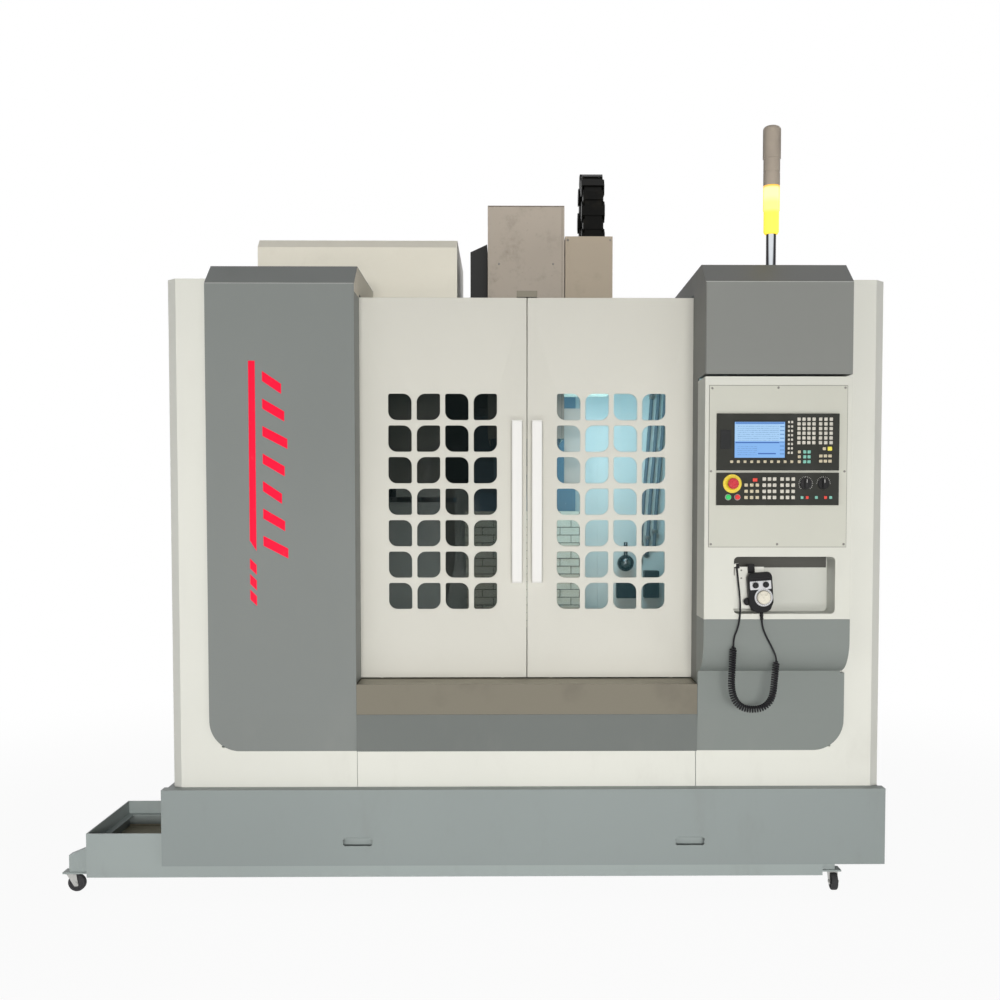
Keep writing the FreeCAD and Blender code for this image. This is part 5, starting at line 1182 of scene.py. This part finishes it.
spun(form, [(0, 2586.5), (29.2, 2586.5), (30, 2589), (30, 2632), (28.9, 2633), (28.9, 2636),
            (30, 2637), (30, 2682), (32.4, 2684), (32.4, 2786), (31, 2792), (27, 2797),
            (22, 2799.7), (0, 2799.7)], (*tower, 0), steps=40)
made("tower_modules", form, moulded("module_grey", (0.390, 0.339, 0.283), 0.42, 800), "machine",
     "lamp_plastic", 40)
amber = Finish("amber_lens", Roughness=0.25, Emission_Strength=1.0)
height = amber.point.part("Z")
glow = amber.blend(height.ramp(2.486, 2.502), (1.0, 0.84, 0.10), (1.0, 0.93, 0.30))
edge = amber.node("ShaderNodeLayerWeight", {}, {"Blend": 0.5}, "Facing").ramp(0.35, 0.85)
glow = amber.blend(edge, amber.blend(height.ramp(2.52, 2.55), glow, (1.0, 0.97, 0.52)),
                   (1.0, 0.62, 0.01))
amber.set(Base_Color=(0.35, 0.25, 0.02),
          Emission_Color=amber.blend(height.ramp(2.572, 2.587), glow, (0.95, 0.42, 0.02)))
form = bmesh.new()
spun(form, [(0, 2412), (22, 2412), (24, 2413.5), (28, 2420), (28, 2494), (30, 2497), (30, 2584),
            (29.2, 2586.4), (0, 2586.4)], (*tower, 0), steps=40)
made("tower_lens", form, amber.material, "machine", "lamp_plastic", 40)
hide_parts("tower_light")


# ---------------------------------------------------------------- inside: castings and drives
# Bed, column, saddle and headstock are grey iron castings, painted where they aren't machined;
# screws, spindle, rods and feet are bare ground steel under a film of oil. A telescopic cover
# of painted sheet guards the upright ways.
def cast_iron(name, colour, gloss=0.48):
    iron = Finish(name)
    pitted = iron.grain(150, 4, (1, 1, 1), 0.7)
    oil = iron.grain(4, 6).ramp(0.48, 0.75)
    iron.set(Base_Color=iron.blend(oil * 0.35, colour, tuple(c * 0.55 for c in colour)),
             Roughness=gloss - oil * 0.12, Normal=iron.bumps(pitted, 0.0008, 0.5))
    return iron.material


casting = cast_iron("casting_paint", (0.46, 0.48, 0.45))
dress(casting, "bed", "column", "saddle")
head_iron = cast_iron("head_casting", (0.10, 0.15, 0.19))
dress(head_iron, "headstock")

oiled = Finish("oiled_steel", Metallic=1.0)
scrape = oiled.grain(90, 4)
oiled.set(Base_Color=oiled.blend(scrape, (0.34, 0.33, 0.31), (0.52, 0.51, 0.49)),
          Roughness=scrape * 0.16 + 0.24, Normal=oiled.bumps(scrape, 0.0001, 0.4))
dress(oiled.material, "axis_drives", "levelling_feet", "magazine_guide", "spindle")
milled = brushed("milled_table", (0.36, 0.36, 0.345), 0.30, (0.5, 25, 25), stained=0.3)
dress(milled, "table")
dress(cast_iron("carriage_black", (0.035, 0.037, 0.040), 0.42), "magazine_carriage")
disc_metal = brushed("disc_metal", (0.46, 0.47, 0.48), 0.28, (6, 6, 6), stained=0.2)
dress(disc_metal, "magazine_disc")
shutter_coat = soiled_coat("shutter_coat", (0.62, 0.58, 0.47), (0.28, 0.24, 0.18), 0.30)
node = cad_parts["z_way_cover"]
steps = node.data.copy()
steps.transform(node.matrix_world)
shutter = made("telescopic_cover", steps, shutter_coat, "head", "beige_paint", 0)
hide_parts("z_way_cover")
form = bmesh.new()
for i in range(20):
    z = 660 + 36.9 * i
    inset = (4 - i // 4) * 0.1
    if i:
        block(form, -277 + inset, 277 - inset, 743.4, 745, z - 1.6, z + 1.6, 0)
    for k in range(6):
        x = -235 + 92 * k + (i % 2) * 40
        if x < 270:
            block(form, x - 1.3, x + 1.3, 743.8, 745, z + 1.6, z + 35.2, 0)
seams = made("shutter_seams", form, soiled_coat("shutter_lines", (0.11, 0.10, 0.08),
             (0.06, 0.05, 0.04), 0.3), "head", "beige_paint")
for piece in (shutter, seams):    # each gets a mesh of its own
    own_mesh(piece)


# ---------------------------------------------------------------- inside: lamp and pipes
# Behind the right door a sealed work lamp is screwed to the hood's side wall. Three coolant
# pipes of dark steel run down the rear wall in clamps, beside a ball valve and its block.
form = bmesh.new()
block(form, 571, 610.8, -60, 600, 2206, 2254, 6, 3)
for y in (-66, 594):
    block(form, 569, 610.8, y, y + 14, 2203, 2257, 3, 2)
made("work_lamp_case", form, aluminium.material, "machine", "stainless", 40)
tube = Finish("lamp_diffuser", Roughness=0.3, Base_Color=(0.6, 0.7, 0.75), Emission_Strength=1.0)
tube.set(Emission_Color=tube.blend(tube.grain(6, 2), (0.60, 0.85, 1.0), (0.75, 0.95, 1.0)))
form = bmesh.new()
block(form, 576, 606, -48, 590, 2200, 2206.4, 2.5, 3)
made("work_lamp_glass", form, tube.material, "machine", "clear_glass", 40)

# what the lamp throws on the rear wall and the head, and the paler light in the left half
lamp("chamber_light", (0.35, 0.15, 1.76), (0.35, 0.86, 1.76), 0.45, 0.35, 6.5,
     (0.42, 0.81, 1.0))
lamp("head_light", (0.30, -0.25, 1.68), (0.20, 0.04, 1.68), 0.3, 0.2, 0.55, (0.55, 0.85, 1.0))
lamp("left_chamber_light", (-0.34, 0.10, 1.05), (-0.34, 0.86, 1.08), 0.7, 0.3, 3.5,
     (0.93, 1.0, 0.98))

# a sheet closes the rear wall, a plate guards the head, and a black sheet on the magazine
# cover's front stands for the shade there: painted shade
wall_y = 855.9
form = bmesh.new()
block(form, 284, 359.5, 852, wall_y, 660, 2232, 0.5, 1)
made("rear_closing_sheet", form, white_coat, "machine", "white_paint")
form = bmesh.new()
block(form, 158, 243, 36.4, 39.6, 1506, 1826, 1, 2)
made("head_guard_plate", form, white_coat, "head", "white_paint")
form = bmesh.new()
block(form, -342, -224, -4, -0.4, 1492, 1990, 1, 2)
made("magazine_flap", form, moulded("flap_rubber", (0.012, 0.012, 0.011), 0.7, 400), "machine",
     "black_plastic")

pipe_steel = moulded("pipe_steel", (0.15, 0.17, 0.19), 0.26, 500)
for number, (x, z) in enumerate(((574, 2030), (608, 2060), (642, 2090)), 1):
    run_y = wall_y - 36
    line = followed([(x + 46, wall_y, z), (x + 45, run_y + 8, z - 2), (x + 43, run_y, z - 40),
                     (x + 26, run_y, z - 300), (x - 2, run_y, z - 640), (x - 12, run_y, z - 830),
                     (x - 12, run_y + 8, z - 868), (x - 12, wall_y, z - 870)])
    made("coolant_pipe_%d" % number, swept(line, 17 * mm, 14), pipe_steel, "machine",
         "steel", 50)
    form = bmesh.new()
    for at, high in ((x + 46, z), (x - 12, z - 870)):
        spun(form, [(0, 0), (15, 0), (15, 7), (11, 9), (0, 9)], (at, wall_y, high), (0, -1, 0), 24)
    for along in (0.27, 0.72):
        spot = line[round(along * (len(line) - 1))] * 1000
        x0, y0, z0 = spot
        block(form, x0 - 14, x0 + 14, y0 - 14, y0 + 14, z0 - 9, z0 + 9, 2, 2)
        block(form, x0 - 7, x0 + 7, y0 + 13, wall_y, z0 - 7, z0 + 7, 1, 1)
    made("pipe_clamps_%d" % number, form, zinc.material, "machine", "steel", 40)
valve_x, valve_y, valve_z = 489, 790, 1152
form = bmesh.new()
spun(form, [(0, 40), (14, 39), (27, 30), (37, 16), (40, 0), (37, -16), (27, -30), (14, -39),
            (0, -40)], (valve_x, valve_y, valve_z), (0, -1, 0), 32)
spun(form, [(0, 0), (18, 0), (18, 40), (0, 40)], (valve_x, wall_y, valve_z), (0, -1, 0), 20)
spun(form, [(0, 0), (9, 0), (9, 70), (7, 72), (0, 72)], (valve_x, valve_y, valve_z + 28),
     (0, 0, 1), 16)
made("ball_valve", form, chrome.material, "machine", "stainless", 45)
form = bmesh.new()
block(form, 448, 548, 800, wall_y, 982, 1072, 4, 2)
block(form, 580, 650, 780, wall_y, 985, 1115, 4, 2)
made("valve_block", form, cast_iron("block_black", (0.010, 0.012, 0.014)), "machine",
     "dark_paint")


# ---------------------------------------------------------------- electrical cabinet
# The sheet steel cabinet on the back of the column, with its louvred door on two lift-off
# hinges. Its paint is the casings' white, a little duller.
cabinet_coat = powder_coat("cabinet_coat", (0.60, 0.60, 0.545), 0.44, 0.25)
dress(cabinet_coat, "electrical_cabinet", "cabinet_door")
lock = bmesh.new()
spun(lock, [(0, -1), (16, -1), (16, 2), (14, 4), (6, 4.4), (6, 2.4), (0, 2.4)],
     (-445, 1746.6, 1330), (0, 1, 0), 28)
made("cabinet_lock", lock, zinc.material, "cabinet_door", "stainless", 40)
form = bmesh.new()
for x in (-118, 114):
    block(form, x, x + 4, 1745.9, 1748, 606, 818, 0.8, 1)
for z in (604, 816):
    block(form, -118, 118, 1745.9, 1748, z, z + 4, 0.8, 1)
made("louvre_frame", form, cabinet_coat, "cabinet_door", "grey_paint")
